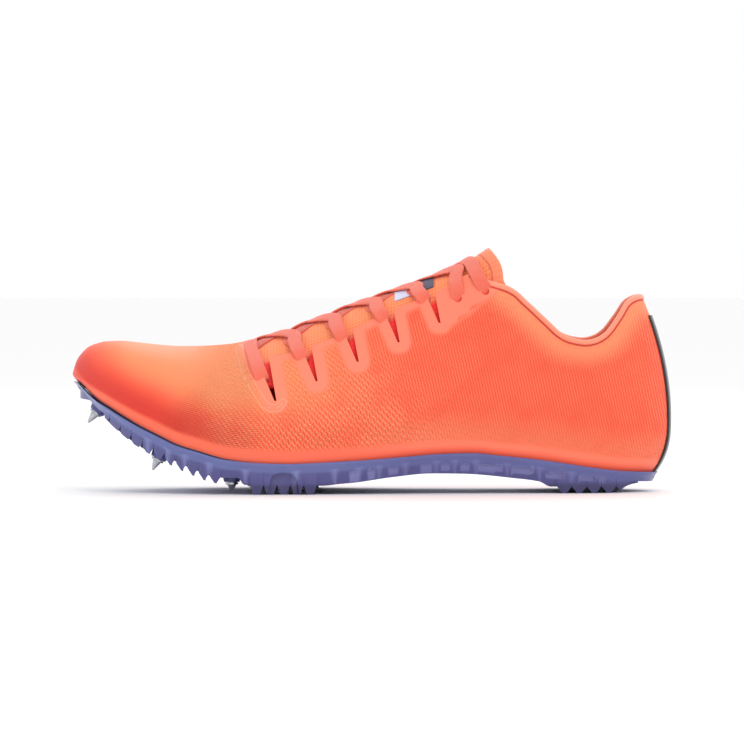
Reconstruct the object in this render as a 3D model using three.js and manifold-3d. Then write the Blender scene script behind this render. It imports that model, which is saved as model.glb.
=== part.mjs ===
// A left track spike shoe that stands empty on its sole: millimetres, +Z up, toe towards -X, heel towards +X,
// lateral (outer) side towards -Y. The floor is z = 0 and the origin is under the middle of the shoe.
import * as THREE from "three";
import { ParametricGeometry } from "three/addons/geometries/ParametricGeometry.js";
import { mergeVertices } from "three/addons/utils/BufferGeometryUtils.js";
import Module from "manifold-3d";

const wasm = await Module();
wasm.setup();

// Driving sizes of the shoe
const LENGTH = 285; // toe tip to the back of the heel strip
const BALL_WIDTH = 94; // widest part of the upper, across the ball of the foot
const INSTEP_HEIGHT = 116; // height of the last where the tongue ends
const HEEL_HEIGHT = 93; // top of the collar at the back
const GAP = 0.3; // clearance between pieces that touch

// Upper
const WALL = 1.8;
const BASE_TUCK = 0.085; // how far the wall turns in under its widest line, as a share of the half width
const TOE_ROUND = 60; // length over which the toe closes
const HEEL_ROUND = 38; // length over which the heel closes
const TOE_TUCK = 5.5; // setback of the toe at the plate
const HEEL_BULGE_HEIGHT = 33.6; // height of the rearmost point
const HEEL_TUCK = 9.5; // setback of the heel at the plate
const COLLAR_LEAN = 13; // how far the back leans forward at the top of the collar
const CONE_START = 0.7; // share of the length where the heel starts to lean

// Plate
const LIP_HEIGHT = 3;
const LIP_THICKNESS = 1.6;
const PLATE_FLOOR = 1.5; // least thickness of the plate under the foot
const PLATE_DRAFT = 1.6; // how far the sides draw in towards the tread
const TREAD_RIM = 9; // width of the toothed rim round the forefoot hollow
const HOLLOW_END = 0.43; // share of LENGTH where the hollow ends
const WINDOW_DEPTH = 0.9;
const SCALLOP_DEPTH = 2.6;

// Pieces laid on the upper
const STRIP_THICKNESS = 1;
const STRIP_WIDTH = 14;
const STRIP_DROP = 10; // how far under the collar edge the heel strip ends
const BAND_THICKNESS = 0.6;
const BINDING_HEIGHT = 2.8;
const BINDING_ROLL = 0.8; // how far the rolled rim stands out of the wall on each side

// Tongue, insole, lace, pins
const TONGUE_THICKNESS = 2.4;
const TONGUE_OVERLAP = 7; // how far the tongue runs on under each throat edge
const LABEL_THICKNESS = 0.6;
const INSOLE_THICKNESS = 3;
const LACE_WIDTH = 6.5;
const LACE_THICKNESS = 1.2;
const LACE_LIFT = 2.4; // height of the lace over the tongue
const LACE_END = 4.6; // distance from the throat edge to where a crossing ends
const LACE_SETBACK = 0.0242; // how far ahead of its slot's tip the lace meets the throat, share of LENGTH
const PIN_RADIUS = 2.1;
const PIN_FLANGE = 3.1;
const PIN_FLANGE_THICKNESS = 1.1;
const PIN_TIP = 0.5;
const PIN_STEM = 2.6;
const PIN_STEM_RADIUS = 1.5;

const BODY_LENGTH = LENGTH - STRIP_THICKNESS - GAP;

// The last, a row per section. at: share of the length from the toe. Heights are shares of INSTEP_HEIGHT:
// feather is the edge where upper and plate meet, belly the widest line, crest the ridge line. Breadths are
// shares of BALL_WIDTH from the ridge line, which swings to the medial side by swing. peak is the exponent
// of the arch over the belly: 2 is an ellipse, less is a steeper tent.
const LAST = [
  { at: 0.0, feather: 0.4465, belly: 0.474, crest: 0.483, lateral: 0.37, medial: 0.36, swing: 0.085, peak: 2.2 },
  { at: 0.0075, feather: 0.442, belly: 0.468, crest: 0.536, lateral: 0.375, medial: 0.36, swing: 0.083, peak: 2.2 },
  { at: 0.015, feather: 0.42, belly: 0.463, crest: 0.562, lateral: 0.385, medial: 0.36, swing: 0.08, peak: 2.2 },
  { at: 0.0275, feather: 0.389, belly: 0.45, crest: 0.59, lateral: 0.4, medial: 0.36, swing: 0.076, peak: 2.2 },
  { at: 0.041, feather: 0.365, belly: 0.437, crest: 0.603, lateral: 0.41, medial: 0.36, swing: 0.07, peak: 2.2 },
  { at: 0.054, feather: 0.348, belly: 0.424, crest: 0.611, lateral: 0.42, medial: 0.36, swing: 0.065, peak: 2.2 },
  { at: 0.081, feather: 0.311, belly: 0.399, crest: 0.614, lateral: 0.435, medial: 0.36, swing: 0.054, peak: 2.15 },
  { at: 0.114, feather: 0.27, belly: 0.371, crest: 0.607, lateral: 0.447, medial: 0.363, swing: 0.042, peak: 2.1 },
  { at: 0.1475, feather: 0.234, belly: 0.347, crest: 0.598, lateral: 0.46, medial: 0.373, swing: 0.032, peak: 2.0 },
  { at: 0.181, feather: 0.198, belly: 0.322, crest: 0.593, lateral: 0.475, medial: 0.392, swing: 0.024, peak: 1.92 },
  { at: 0.214, feather: 0.174, belly: 0.301, crest: 0.594, lateral: 0.495, medial: 0.412, swing: 0.017, peak: 1.82 },
  { at: 0.264, feather: 0.141, belly: 0.276, crest: 0.602, lateral: 0.517, medial: 0.435, swing: 0.009, peak: 1.66 },
  { at: 0.314, feather: 0.129, belly: 0.264, crest: 0.63, lateral: 0.522, medial: 0.455, swing: 0.002, peak: 1.5 },
  { at: 0.364, feather: 0.125, belly: 0.261, crest: 0.668, lateral: 0.512, medial: 0.459, swing: -0.004, peak: 1.44 },
  { at: 0.414, feather: 0.129, belly: 0.267, crest: 0.714, lateral: 0.49, medial: 0.447, swing: -0.009, peak: 1.46 },
  { at: 0.464, feather: 0.135, belly: 0.276, crest: 0.762, lateral: 0.462, medial: 0.419, swing: -0.013, peak: 1.5 },
  { at: 0.514, feather: 0.143, belly: 0.284, crest: 0.805, lateral: 0.435, medial: 0.39, swing: -0.016, peak: 1.58 },
  { at: 0.564, feather: 0.153, belly: 0.289, crest: 0.847, lateral: 0.407, medial: 0.365, swing: -0.017, peak: 1.68 },
  { at: 0.614, feather: 0.162, belly: 0.288, crest: 0.893, lateral: 0.384, medial: 0.345, swing: -0.016, peak: 1.8 },
  { at: 0.664, feather: 0.165, belly: 0.284, crest: 0.957, lateral: 0.366, medial: 0.331, swing: -0.014, peak: 1.9 },
  { at: 0.714, feather: 0.154, belly: 0.276, crest: 1.035, lateral: 0.353, medial: 0.323, swing: -0.011, peak: 2.0 },
  { at: 0.781, feather: 0.137, belly: 0.264, crest: 1.09, lateral: 0.341, medial: 0.321, swing: -0.007, peak: 2.1 },
  { at: 0.831, feather: 0.121, belly: 0.252, crest: 1.13, lateral: 0.333, medial: 0.32, swing: -0.004, peak: 2.2 },
  { at: 0.881, feather: 0.104, belly: 0.241, crest: 1.15, lateral: 0.325, medial: 0.315, swing: -0.002, peak: 2.3 },
  { at: 0.931, feather: 0.09, belly: 0.25, crest: 1.16, lateral: 0.315, medial: 0.31, swing: 0.0, peak: 2.4 },
  { at: 1.0, feather: 0.079, belly: 0.29, crest: 1.16, lateral: 0.305, medial: 0.305, swing: 0.0, peak: 2.4 },
];

// The tread, a row per station: tip is the height of the tooth tips and tooth their own height, both shares
// of INSTEP_HEIGHT.
const TREAD = [
  { at: 0.0, tip: 0.3707, tooth: 0.0069 },
  { at: 0.02, tip: 0.3612, tooth: 0.0103 },
  { at: 0.034, tip: 0.3319, tooth: 0.0207 },
  { at: 0.054, tip: 0.2845, tooth: 0.0259 },
  { at: 0.084, tip: 0.2293, tooth: 0.0259 },
  { at: 0.113, tip: 0.1845, tooth: 0.0259 },
  { at: 0.161, tip: 0.1293, tooth: 0.0259 },
  { at: 0.2125, tip: 0.0741, tooth: 0.0259 },
  { at: 0.25, tip: 0.0457, tooth: 0.0259 },
  { at: 0.258, tip: 0.0595, tooth: 0.0086 },
  { at: 0.284, tip: 0.0595, tooth: 0.0086 },
  { at: 0.294, tip: 0, tooth: 0.0397 },
  { at: 0.35, tip: 0, tooth: 0.0397 },
  { at: 0.412, tip: 0, tooth: 0.0362 },
  { at: 0.435, tip: 0.0259, tooth: 0.0121 },
  { at: 0.486, tip: 0.0431, tooth: 0.0078 },
  { at: 0.537, tip: 0.0612, tooth: 0.0078 },
  { at: 0.6, tip: 0.075, tooth: 0.0078 },
  { at: 0.65, tip: 0.0733, tooth: 0.0078 },
  { at: 0.731, tip: 0.056, tooth: 0.0078 },
  { at: 0.783, tip: 0.0362, tooth: 0.0121 },
  { at: 0.805, tip: 0, tooth: 0.0276 },
  { at: 0.86, tip: 0, tooth: 0.0276 },
  { at: 0.93, tip: 0, tooth: 0.0276 },
  { at: 0.955, tip: 0.0293, tooth: 0.0103 },
  { at: 1.0, tip: 0.0466, tooth: 0.0052 },
];

// A cubic through a table's rows that never overshoots them.
function readRow(table, at) {
  const last = table.length - 1;
  const share = Math.min(Math.max(at, table[0].at), table[last].at);
  let i = 0;
  while (i < last - 1 && share > table[i + 1].at) i += 1;
  const a = table[i];
  const b = table[i + 1];
  const run = b.at - a.at;
  const t = (share - a.at) / run;
  const row = {};
  for (const key of Object.keys(a)) {
    const slopeOf = (j) => (table[j + 1][key] - table[j][key]) / (table[j + 1].at - table[j].at);
    const tangentAt = (j) => {
      if (j === 0) return slopeOf(0);
      if (j === last) return slopeOf(last - 1);
      const before = slopeOf(j - 1);
      const after = slopeOf(j);
      if (before * after <= 0) return 0;
      return (2 * before * after) / (before + after);
    };
    const rise = b[key] - a[key];
    const start = tangentAt(i) * run;
    const end = tangentAt(i + 1) * run;
    row[key] = a[key] + t * (start + t * (3 * rise - 2 * start - end + t * (start + end - 2 * rise)));
  }
  return row;
}

const smooth = (t) => {
  const c = Math.min(Math.max(t, 0), 1);
  return c * c * (3 - 2 * c);
};

// Everything about the last's section at a share of its length, grown outwards by grow.
function sectionAt(share, grow) {
  const row = readRow(LAST, share);
  const fromToe = share * BODY_LENGTH;
  const fromHeel = (1 - share) * BODY_LENGTH;
  const closing = (distance, radius) => {
    const open = Math.min(distance / radius, 1);
    return Math.sqrt(Math.max(1 - (1 - open) ** 2, 0));
  };
  const round = closing(fromToe, TOE_ROUND) * closing(fromHeel, HEEL_ROUND);
  const feather = row.feather * INSTEP_HEIGHT;
  return {
    x: -LENGTH / 2 - grow + share * (BODY_LENGTH + 2 * grow),
    share,
    feather,
    base: feather - LIP_HEIGHT,
    belly: row.belly * INSTEP_HEIGHT,
    crest: row.crest * INSTEP_HEIGHT + grow,
    lateral: (row.lateral * BALL_WIDTH + grow) * round,
    medial: (row.medial * BALL_WIDTH + grow) * round,
    ridge: row.swing * BALL_WIDTH,
    peak: row.peak,
  };
}

// How far a point of a section moves along x: the toe and the heel tuck in towards the plate, and the back
// leans forward towards the collar.
function leanAt(section, z) {
  const below = (section.belly - Math.max(z, section.base)) / (section.belly - section.base);
  const toe = TOE_TUCK * Math.max(below, 0) ** 1.3 * (1 - smooth((section.share * LENGTH) / TOE_ROUND));
  const blend = smooth((section.share - CONE_START) / (1 - CONE_START));
  const up = Math.max(z - HEEL_BULGE_HEIGHT, 0) / (HEEL_HEIGHT - HEEL_BULGE_HEIGHT);
  const down = Math.max(HEEL_BULGE_HEIGHT - Math.max(z, section.base), 0) / (HEEL_BULGE_HEIGHT - section.base);
  return toe - blend * (COLLAR_LEAN * up ** 2 + HEEL_TUCK * down ** 2.6);
}

// Half width of a section at height z, as a share of its widest.
function widthShare(section, z) {
  if (z >= section.belly) {
    const up = Math.min((z - section.belly) / (section.crest - section.belly), 1);
    return (1 - up ** section.peak) ** (1 / section.peak);
  }
  const below = Math.min((section.belly - z) / (section.belly - section.base), 1);
  return 1 - BASE_TUCK * below ** 2;
}

// Height of the last's top at a place in plan, ahead of where the heel starts to lean.
function topHeight(x, y, grow) {
  const share = (x + LENGTH / 2 + grow) / (BODY_LENGTH + 2 * grow);
  const section = sectionAt(share, grow);
  const half = y < section.ridge ? section.lateral : section.medial;
  const out = Math.min(Math.abs(y - section.ridge) / half, 1);
  return section.belly + (section.crest - section.belly) * (1 - out ** section.peak) ** (1 / section.peak);
}

// Stations packed closer together towards the toe and the heel.
const stationAt = (i, count) => (1 - Math.cos((Math.PI * i) / count)) / 2;

// A closed solid from a row of rings that all have the same number of points.
function skin(rings) {
  const along = rings.length - 1;
  const around = rings[0].length;
  const place = (u, v, target) => {
    const ring = rings[Math.round(v * along)];
    target.copy(ring[Math.round(u * around) % around]);
  };
  return solid(new ParametricGeometry(place, around, along));
}

function solid(geometry) {
  geometry.deleteAttribute("normal");
  geometry.deleteAttribute("uv");
  const merged = mergeVertices(geometry, 1e-4);
  const corners = merged.index.array;
  const kept = [];
  for (let i = 0; i < corners.length; i += 3) {
    const [a, b, c] = [corners[i], corners[i + 1], corners[i + 2]];
    if (a !== b && b !== c && c !== a) kept.push(a, b, c);
  }
  const triVerts = new Uint32Array(kept);
  const vertProperties = new Float32Array(merged.attributes.position.array);
  const made = new wasm.Manifold(new wasm.Mesh({ numProp: 3, vertProperties, triVerts }));
  if (made.volume() > 0) return made;
  for (let i = 0; i < triVerts.length; i += 3) {
    [triVerts[i + 1], triVerts[i + 2]] = [triVerts[i + 2], triVerts[i + 1]];
  }
  return new wasm.Manifold(new wasm.Mesh({ numProp: 3, vertProperties, triVerts }));
}

// The whole last, grown by grow, with its flat base lowered by drop.
function lastForm(grow, drop, stations, arcs) {
  const rings = [];
  for (let i = 0; i <= stations; i += 1) {
    const section = sectionAt(stationAt(i, stations), grow);
    const heights = [section.base - drop];
    const tucks = 3;
    for (let k = 0; k < tucks; k += 1) {
      heights.push(section.base + ((section.belly - section.base) * k) / tucks);
    }
    for (let k = 0; k <= arcs; k += 1) {
      const rise = Math.sin((Math.PI / 2) * (k / arcs)) ** (2 / section.peak);
      heights.push(section.belly + (section.crest - section.belly) * rise);
    }
    const wall = (half, sign) =>
      heights.map((z) => {
        const y = section.ridge + sign * half * widthShare(section, z);
        return new THREE.Vector3(section.x + leanAt(section, z), y, z);
      });
    const foot = new THREE.Vector3(section.x + leanAt(section, section.base), section.ridge, section.base - drop);
    const up = wall(section.lateral, -1);
    const down = wall(section.medial, 1).reverse().slice(1);
    rings.push([foot, ...up, ...down]);
  }
  return skin(rings);
}

// A block with a given outline in side view (x, z) that runs across the shoe from one y to another.
function sideBlock(outline, fromY, toY) {
  const shape = new THREE.Shape(outline.map(([x, z]) => new THREE.Vector2(x, z)));
  const block = new THREE.ExtrudeGeometry(shape, { depth: toY - fromY, bevelEnabled: false });
  block.rotateX(Math.PI / 2);
  block.translate(0, toY, 0);
  return solid(block);
}

// A block with a given outline in plan (x, y) between two heights.
function planBlock(outline, fromZ, toZ) {
  const shape = new THREE.Shape(outline.map(([x, y]) => new THREE.Vector2(x, y)));
  const block = new THREE.ExtrudeGeometry(shape, { depth: toZ - fromZ, bevelEnabled: false });
  block.translate(0, 0, fromZ);
  return solid(block);
}

const xAt = (share) => -LENGTH / 2 + share * LENGTH;
const FAR = LENGTH; // far enough to pass right through the shoe

// Collar edge in side view from the throat corner to the back, heights as shares of HEEL_HEIGHT.
const COLLAR = [
  { at: 0.676, height: 1.094 },
  { at: 0.731, height: 1.042 },
  { at: 0.76, height: 0.968 },
  { at: 0.79, height: 0.882 },
  { at: 0.815, height: 0.812 },
  { at: 0.838, height: 0.784 },
  { at: 0.862, height: 0.781 },
  { at: 0.885, height: 0.816 },
  { at: 0.906, height: 0.9 },
  { at: 0.922, height: 0.973 },
  { at: 0.943, height: 1.005 },
  { at: 0.965, height: 1.0 },
  { at: 1.0, height: 0.985 },
];

const COLLAR_OVERRUN = 0.014; // share of LENGTH that the collar cut runs on past the throat corner

// The region over the collar edge, moved down square to the edge by drop.
function aboveCollar(drop) {
  const points = COLLAR.map((row) => new THREE.Vector2(xAt(row.at), row.height * HEEL_HEIGHT));
  const edge = new THREE.SplineCurve(points);
  const steps = 28;
  const line = [];
  for (let i = 0; i <= steps; i += 1) {
    const point = edge.getPoint(i / steps);
    const run = edge.getTangent(i / steps);
    line.push([point.x + run.y * drop, point.y - run.x * drop]);
  }
  const [firstX, firstZ] = line[0];
  const [lastX, lastZ] = line[steps];
  const start = edge.getTangent(0);
  const past = COLLAR_OVERRUN * LENGTH;
  const outline = [[firstX - start.x * past, firstZ - start.y * past], ...line];
  outline.push([lastX + FAR, lastZ], [lastX + FAR, FAR], [firstX - past, FAR]);
  return sideBlock(outline, -FAR, FAR);
}

// The throat in plan: half widths from the ridge line as shares of BALL_WIDTH.
const THROAT = [
  { at: 0.296, half: 0.0 },
  { at: 0.297, half: 0.12 },
  { at: 0.3, half: 0.18 },
  { at: 0.309, half: 0.22 },
  { at: 0.36, half: 0.24 },
  { at: 0.42, half: 0.225 },
  { at: 0.48, half: 0.198 },
  { at: 0.54, half: 0.17 },
  { at: 0.6, half: 0.158 },
  { at: 0.66, half: 0.152 },
  { at: 0.7, half: 0.152 },
  { at: 0.74, half: 0.152 },
];

function throatBlock(grow) {
  const steps = 20;
  const lateral = [];
  const medial = [];
  const first = THROAT[0].at;
  const span = THROAT[THROAT.length - 1].at - first;
  for (let i = 0; i <= steps; i += 1) {
    const share = first + span * (i / steps) ** 1.6;
    const half = readRow(THROAT, share).half * BALL_WIDTH + grow;
    const ridge = readRow(LAST, share).swing * BALL_WIDTH;
    lateral.push([xAt(share) - (i === 0 ? grow : 0), ridge - half]);
    medial.push([xAt(share) - (i === 0 ? grow : 0), ridge + half]);
  }
  const low = INSTEP_HEIGHT * 0.4;
  return planBlock([...lateral, ...medial.reverse()], low, FAR);
}

// The five lace slots of a side: V cuts that open into the throat.
const SLOT_COUNT = 5;
const SLOT_FIRST = { at: 0.3415, height: 0.379 }; // tip of the front slot, height as a share of INSTEP_HEIGHT
const SLOT_PITCH = 0.0677; // share of LENGTH
const SLOT_RISE = 0.0783; // share of INSTEP_HEIGHT from slot to slot
const SLOT_DEPTH = 0.224; // share of INSTEP_HEIGHT
const SLOT_TIP = 0.0035; // width at the tip, at the top and backward lean, shares of LENGTH
const SLOT_TOP = 0.0246;
const SLOT_LEAN = 0.0175;

function slotTip(i) {
  const x = xAt(SLOT_FIRST.at + i * SLOT_PITCH);
  return [x, (SLOT_FIRST.height + i * SLOT_RISE) * INSTEP_HEIGHT];
}

function slotBlock(i, side) {
  const [x, z] = slotTip(i);
  const half = (SLOT_TIP * LENGTH) / 2;
  const top = z + SLOT_DEPTH * INSTEP_HEIGHT;
  const outline = [
    [x - half, z],
    [x + half, z],
    [x + half - SLOT_LEAN * LENGTH, top],
    [x - (SLOT_LEAN + SLOT_TOP) * LENGTH, top],
  ];
  const inner = (side * BALL_WIDTH) / 16;
  return side < 0 ? sideBlock(outline, -FAR, inner) : sideBlock(outline, inner, FAR);
}

// The two top eyelets of a side.
const EYELETS = [
  { at: 0.6425, height: 0.792 },
  { at: 0.688, height: 0.822 },
];
const EYELET_RADIUS = 1.9;

function eyeletBlock(eyelet, side) {
  const hole = new THREE.CylinderGeometry(EYELET_RADIUS, EYELET_RADIUS, FAR, 12);
  hole.translate(xAt(eyelet.at), (side * FAR) / 2, eyelet.height * INSTEP_HEIGHT);
  return solid(hole);
}

function openings() {
  let cut = throatBlock(0);
  for (const side of [-1, 1]) {
    for (let i = 0; i < SLOT_COUNT; i += 1) cut = cut.add(slotBlock(i, side));
    for (const eyelet of EYELETS) cut = cut.add(eyeletBlock(eyelet, side));
  }
  return cut;
}

const STATIONS = 40;
const ARCS = 7;

function upper() {
  const inside = lastForm(-WALL, LIP_HEIGHT, STATIONS, ARCS - 2);
  const shell = lastForm(0, 0, STATIONS, ARCS).subtract(inside);
  return shell.subtract(aboveCollar(BINDING_HEIGHT)).subtract(openings());
}

// A layer of the last between two offsets from its surface.
function layer(inner, outer) {
  return lastForm(outer, 0, STATIONS, ARCS).subtract(lastForm(inner, LIP_HEIGHT, STATIONS, ARCS));
}

// A slab that fills the last's plan outline, grown by grow, between two heights given for each section.
function slab(grow, draft, bottomOf, topOf) {
  const rings = [];
  for (let i = 0; i <= STATIONS; i += 1) {
    const section = sectionAt(stationAt(i, STATIONS), grow);
    const bottom = bottomOf(section);
    const top = topOf(section);
    const middle = Math.max((bottom + top) / 2, section.base);
    const point = (y, z) => new THREE.Vector3(section.x + leanAt(section, z), section.ridge + y, z);
    const wall = (half, sign) => [
      point(sign * Math.max(half * widthShare(section, bottom) - draft, half * 0.6), bottom),
      point(sign * half * widthShare(section, middle), middle),
      point(sign * half * widthShare(section, top), top),
    ];
    const down = wall(section.medial, 1).reverse();
    rings.push([point(0, bottom), ...wall(section.lateral, -1), point(0, top), ...down]);
  }
  return skin(rings);
}

// The underside between the teeth, and the tips of the teeth, at a section of the plate.
function treadAt(share) {
  const row = readRow(TREAD, share);
  return { tip: row.tip * INSTEP_HEIGHT, tooth: row.tooth * INSTEP_HEIGHT };
}
const tipAt = (section) => Math.min(treadAt(section.share).tip, section.base - PLATE_FLOOR - GAP);
const rootAt = (section) => {
  const tread = treadAt(section.share);
  return Math.min(tread.tip + tread.tooth, section.base - PLATE_FLOOR);
};
const featherAt = (section) => section.feather;
const PLATE_GROW = GAP + LIP_THICKNESS;

// Teeth, a row per run: shares of LENGTH where the run starts and ends, how many teeth it has, and the flat
// at a tooth's tip as a share of the spacing.
const TEETH = [
  { from: 0.047, to: 0.252, count: 11, flat: 0.22 },
  { from: 0.3, to: 0.41, count: 5, flat: 0.48 },
  { from: 0.806, to: 0.93, count: 5, flat: 0.26 },
];

function teeth() {
  const blocks = [];
  for (const run of TEETH) {
    const pitch = ((run.to - run.from) / run.count) * LENGTH;
    for (let i = 0; i < run.count; i += 1) {
      const x = xAt(run.from) + (i + 0.5) * pitch;
      const tread = treadAt((x + LENGTH / 2) / LENGTH);
      const mid = tread.tip + tread.tooth;
      const low = tread.tip - PLATE_FLOOR;
      const high = mid + PLATE_FLOOR / 2;
      const half = (z) => {
        const up = Math.min(Math.max(z - tread.tip, 0) / tread.tooth, 1);
        return (pitch / 2) * (run.flat + (0.98 - run.flat) * up);
      };
      const outline = [
        [x - half(low), low],
        [x + half(low), low],
        [x + half(tread.tip), tread.tip],
        [x + half(mid), mid],
        [x + half(high), high],
        [x - half(high), high],
        [x - half(mid), mid],
        [x - half(tread.tip), tread.tip],
      ];
      blocks.push(sideBlock(outline, -BALL_WIDTH, BALL_WIDTH));
    }
  }
  return blocks.reduce((all, block) => all.add(block));
}

// Windows between the ribs of the waist and the scallop of the forefoot, both sunk in the side wall.
const WINDOWS = { from: 0.452, pitch: 0.0435, width: 0.031, slant: 0.007, count: 8 }; // shares of LENGTH
const WINDOW_LOW = 1.6; // over the underside
const WINDOW_HEIGHT = 3;
const SCALLOP = { from: 0.328, to: 0.382, top: 0.091, shoulder: 0.074 }; // heights: shares of INSTEP_HEIGHT

function windows() {
  const blocks = [];
  for (let i = 0; i < WINDOWS.count; i += 1) {
    const share = WINDOWS.from + i * WINDOWS.pitch;
    const low = rootAt(sectionAt(share, 0)) + WINDOW_LOW;
    const outline = [
      [xAt(share), low],
      [xAt(share + WINDOWS.width), low],
      [xAt(share + WINDOWS.width - WINDOWS.slant), low + WINDOW_HEIGHT],
      [xAt(share + WINDOWS.slant), low + WINDOW_HEIGHT],
    ];
    blocks.push(sideBlock(outline, -BALL_WIDTH, BALL_WIDTH));
  }
  return blocks.reduce((all, block) => all.add(block));
}

function scallop() {
  const [from, to] = [xAt(SCALLOP.from), xAt(SCALLOP.to)];
  const inset = (to - from) / 9;
  const top = SCALLOP.top * INSTEP_HEIGHT;
  const shoulder = SCALLOP.shoulder * INSTEP_HEIGHT;
  const outline = [
    [from, -PLATE_FLOOR],
    [to, -PLATE_FLOOR],
    [to - inset, shoulder],
    [to - 3 * inset, top],
    [from + 3 * inset, top],
    [from + inset, shoulder],
  ];
  return sideBlock(outline, -BALL_WIDTH, BALL_WIDTH);
}

// Spike pins, a row per pin: across is a share of the plate's half width, boss and length in millimetres.
const PINS = [
  { at: 0.034, across: -0.42, boss: 2, length: 6.5 },
  { at: 0.153, across: -0.7, boss: 3, length: 6 },
  { at: 0.273, across: -0.62, boss: 2.4, length: 4.4 },
  { at: 0.312, across: -0.6, boss: 1, length: 3.2 },
  { at: 0.034, across: 0.42, boss: 2, length: 6.5 },
  { at: 0.153, across: 0.66, boss: 3, length: 6 },
  { at: 0.273, across: 0.62, boss: 2.4, length: 4.4 },
  { at: 0.312, across: 0.62, boss: 1, length: 3.2 },
];

// The frame of a pin: where its boss starts on the underside and the way it points.
function pinFrame(pin) {
  const section = sectionAt(pin.at, PLATE_GROW);
  const half = pin.across < 0 ? section.lateral : section.medial;
  const bottomX = (share) => {
    const near = sectionAt(share, PLATE_GROW);
    return near.x + leanAt(near, near.base);
  };
  const step = 0.01;
  const rise = rootAt(sectionAt(pin.at + step, PLATE_GROW)) - rootAt(sectionAt(pin.at - step, PLATE_GROW));
  const slope = rise / (bottomX(pin.at + step) - bottomX(pin.at - step));
  const place = new THREE.Vector3(bottomX(pin.at), section.ridge + pin.across * half, rootAt(section));
  const down = new THREE.Vector3(slope, 0, -1).normalize();
  return { place, down };
}

// A turned shape whose axis starts at a pin's place and runs the way the pin points.
function turned(profile, pin, sides) {
  const { place, down } = pinFrame(pin);
  const points = profile.map(([radius, along]) => new THREE.Vector2(radius, along));
  const lathe = new THREE.LatheGeometry(points, sides);
  const turn = new THREE.Quaternion().setFromUnitVectors(new THREE.Vector3(0, 1, 0), down);
  lathe.applyQuaternion(turn);
  lathe.translate(place.x, place.y, place.z);
  return solid(lathe);
}

const PIN_SIDES = 10;

function boss(pin) {
  const radius = PIN_FLANGE + 1.2;
  return turned([[0, -1], [radius, -1], [radius, 0], [radius - 0.6, pin.boss], [0, pin.boss]], pin, PIN_SIDES);
}

function bore(pin) {
  const radius = PIN_STEM_RADIUS + GAP;
  const deep = pin.boss - PIN_STEM - GAP;
  return turned([[0, deep], [radius, deep], [radius, pin.boss + 1], [0, pin.boss + 1]], pin, PIN_SIDES);
}

function spikePin(pin) {
  const seat = pin.boss + GAP;
  const neck = seat + PIN_FLANGE_THICKNESS;
  const tip = pin.boss + pin.length;
  const profile = [
    [0, pin.boss - PIN_STEM],
    [PIN_STEM_RADIUS, pin.boss - PIN_STEM],
    [PIN_STEM_RADIUS, seat],
    [PIN_FLANGE, seat],
    [PIN_FLANGE, neck - 0.3],
    [PIN_RADIUS, neck],
    [PIN_TIP, tip],
    [0, tip],
  ];
  return turned(profile, pin, PIN_SIDES);
}

function spikePlate() {
  const body = slab(PLATE_GROW, PLATE_DRAFT, rootAt, featherAt);
  const deep = slab(PLATE_GROW, PLATE_DRAFT, tipAt, featherAt);
  const under = (section) => tipAt(section) - 5;
  const back = sideBlock([[xAt(HOLLOW_END), -FAR], [FAR, -FAR], [FAR, FAR], [xAt(HOLLOW_END), FAR]], -FAR, FAR);
  const hollow = slab(PLATE_GROW - TREAD_RIM, PLATE_DRAFT, under, featherAt).subtract(back);
  const windowFloor = slab(PLATE_GROW - WINDOW_DEPTH, 0, under, featherAt);
  const scallopFloor = slab(PLATE_GROW - SCALLOP_DEPTH, PLATE_DRAFT, under, featherAt);
  let plate = body.add(teeth().intersect(deep).subtract(hollow));
  for (const pin of PINS) plate = plate.add(boss(pin));
  plate = plate.subtract(lastForm(GAP, GAP, STATIONS, ARCS));
  plate = plate.subtract(windows().subtract(windowFloor)).subtract(scallop().subtract(scallopFloor));
  for (const pin of PINS) plate = plate.subtract(bore(pin));
  return plate;
}

function insole() {
  const topAt = (section) => section.base + INSOLE_THICKNESS;
  return slab(-WALL - 2 * GAP, 0, (section) => section.base + GAP, topAt);
}

const TONGUE_GROW = -(WALL + BINDING_ROLL + GAP);
const TONGUE_TIP = { at: 0.6975, height: 0.99 };
const TONGUE_REACH = 0.04; // share of LENGTH that the tongue runs on under the vamp
const TONGUE_SLANT = 0.415; // lean of the tongue's top edge under its tip
const TONGUE_CURL = 0.028; // share of LENGTH that the edge leans forward over its tip

function tongueRegion() {
  const x = xAt(TONGUE_TIP.at);
  const z = TONGUE_TIP.height * INSTEP_HEIGHT;
  const front = xAt(THROAT[0].at - TONGUE_REACH);
  const low = INSTEP_HEIGHT * 0.4;
  const heel = x + (z - low) * TONGUE_SLANT;
  return sideBlock([[front, low], [heel, low], [x, z], [x - TONGUE_CURL * LENGTH, FAR], [front, FAR]], -FAR, FAR);
}

function tongue() {
  const pad = layer(TONGUE_GROW - TONGUE_THICKNESS, TONGUE_GROW);
  return pad.intersect(throatBlock(TONGUE_OVERLAP)).intersect(tongueRegion());
}

const LABEL = { from: 0.545, to: 0.6, half: 0.085 };

function tongueLabel() {
  const low = TONGUE_GROW + GAP;
  const y = readRow(LAST, LABEL.from).swing * BALL_WIDTH;
  const half = LABEL.half * BALL_WIDTH;
  const outline = [
    [xAt(LABEL.from), y - half],
    [xAt(LABEL.to), y - half],
    [xAt(LABEL.to), y + half],
    [xAt(LABEL.from), y + half],
  ];
  return layer(low, low + LABEL_THICKNESS).intersect(planBlock(outline, INSTEP_HEIGHT / 2, FAR));
}

function collarBinding() {
  const band = aboveCollar(BINDING_HEIGHT - GAP).subtract(aboveCollar(0));
  return layer(-WALL - BINDING_ROLL, BINDING_ROLL).intersect(band).subtract(throatBlock(0));
}

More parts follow.
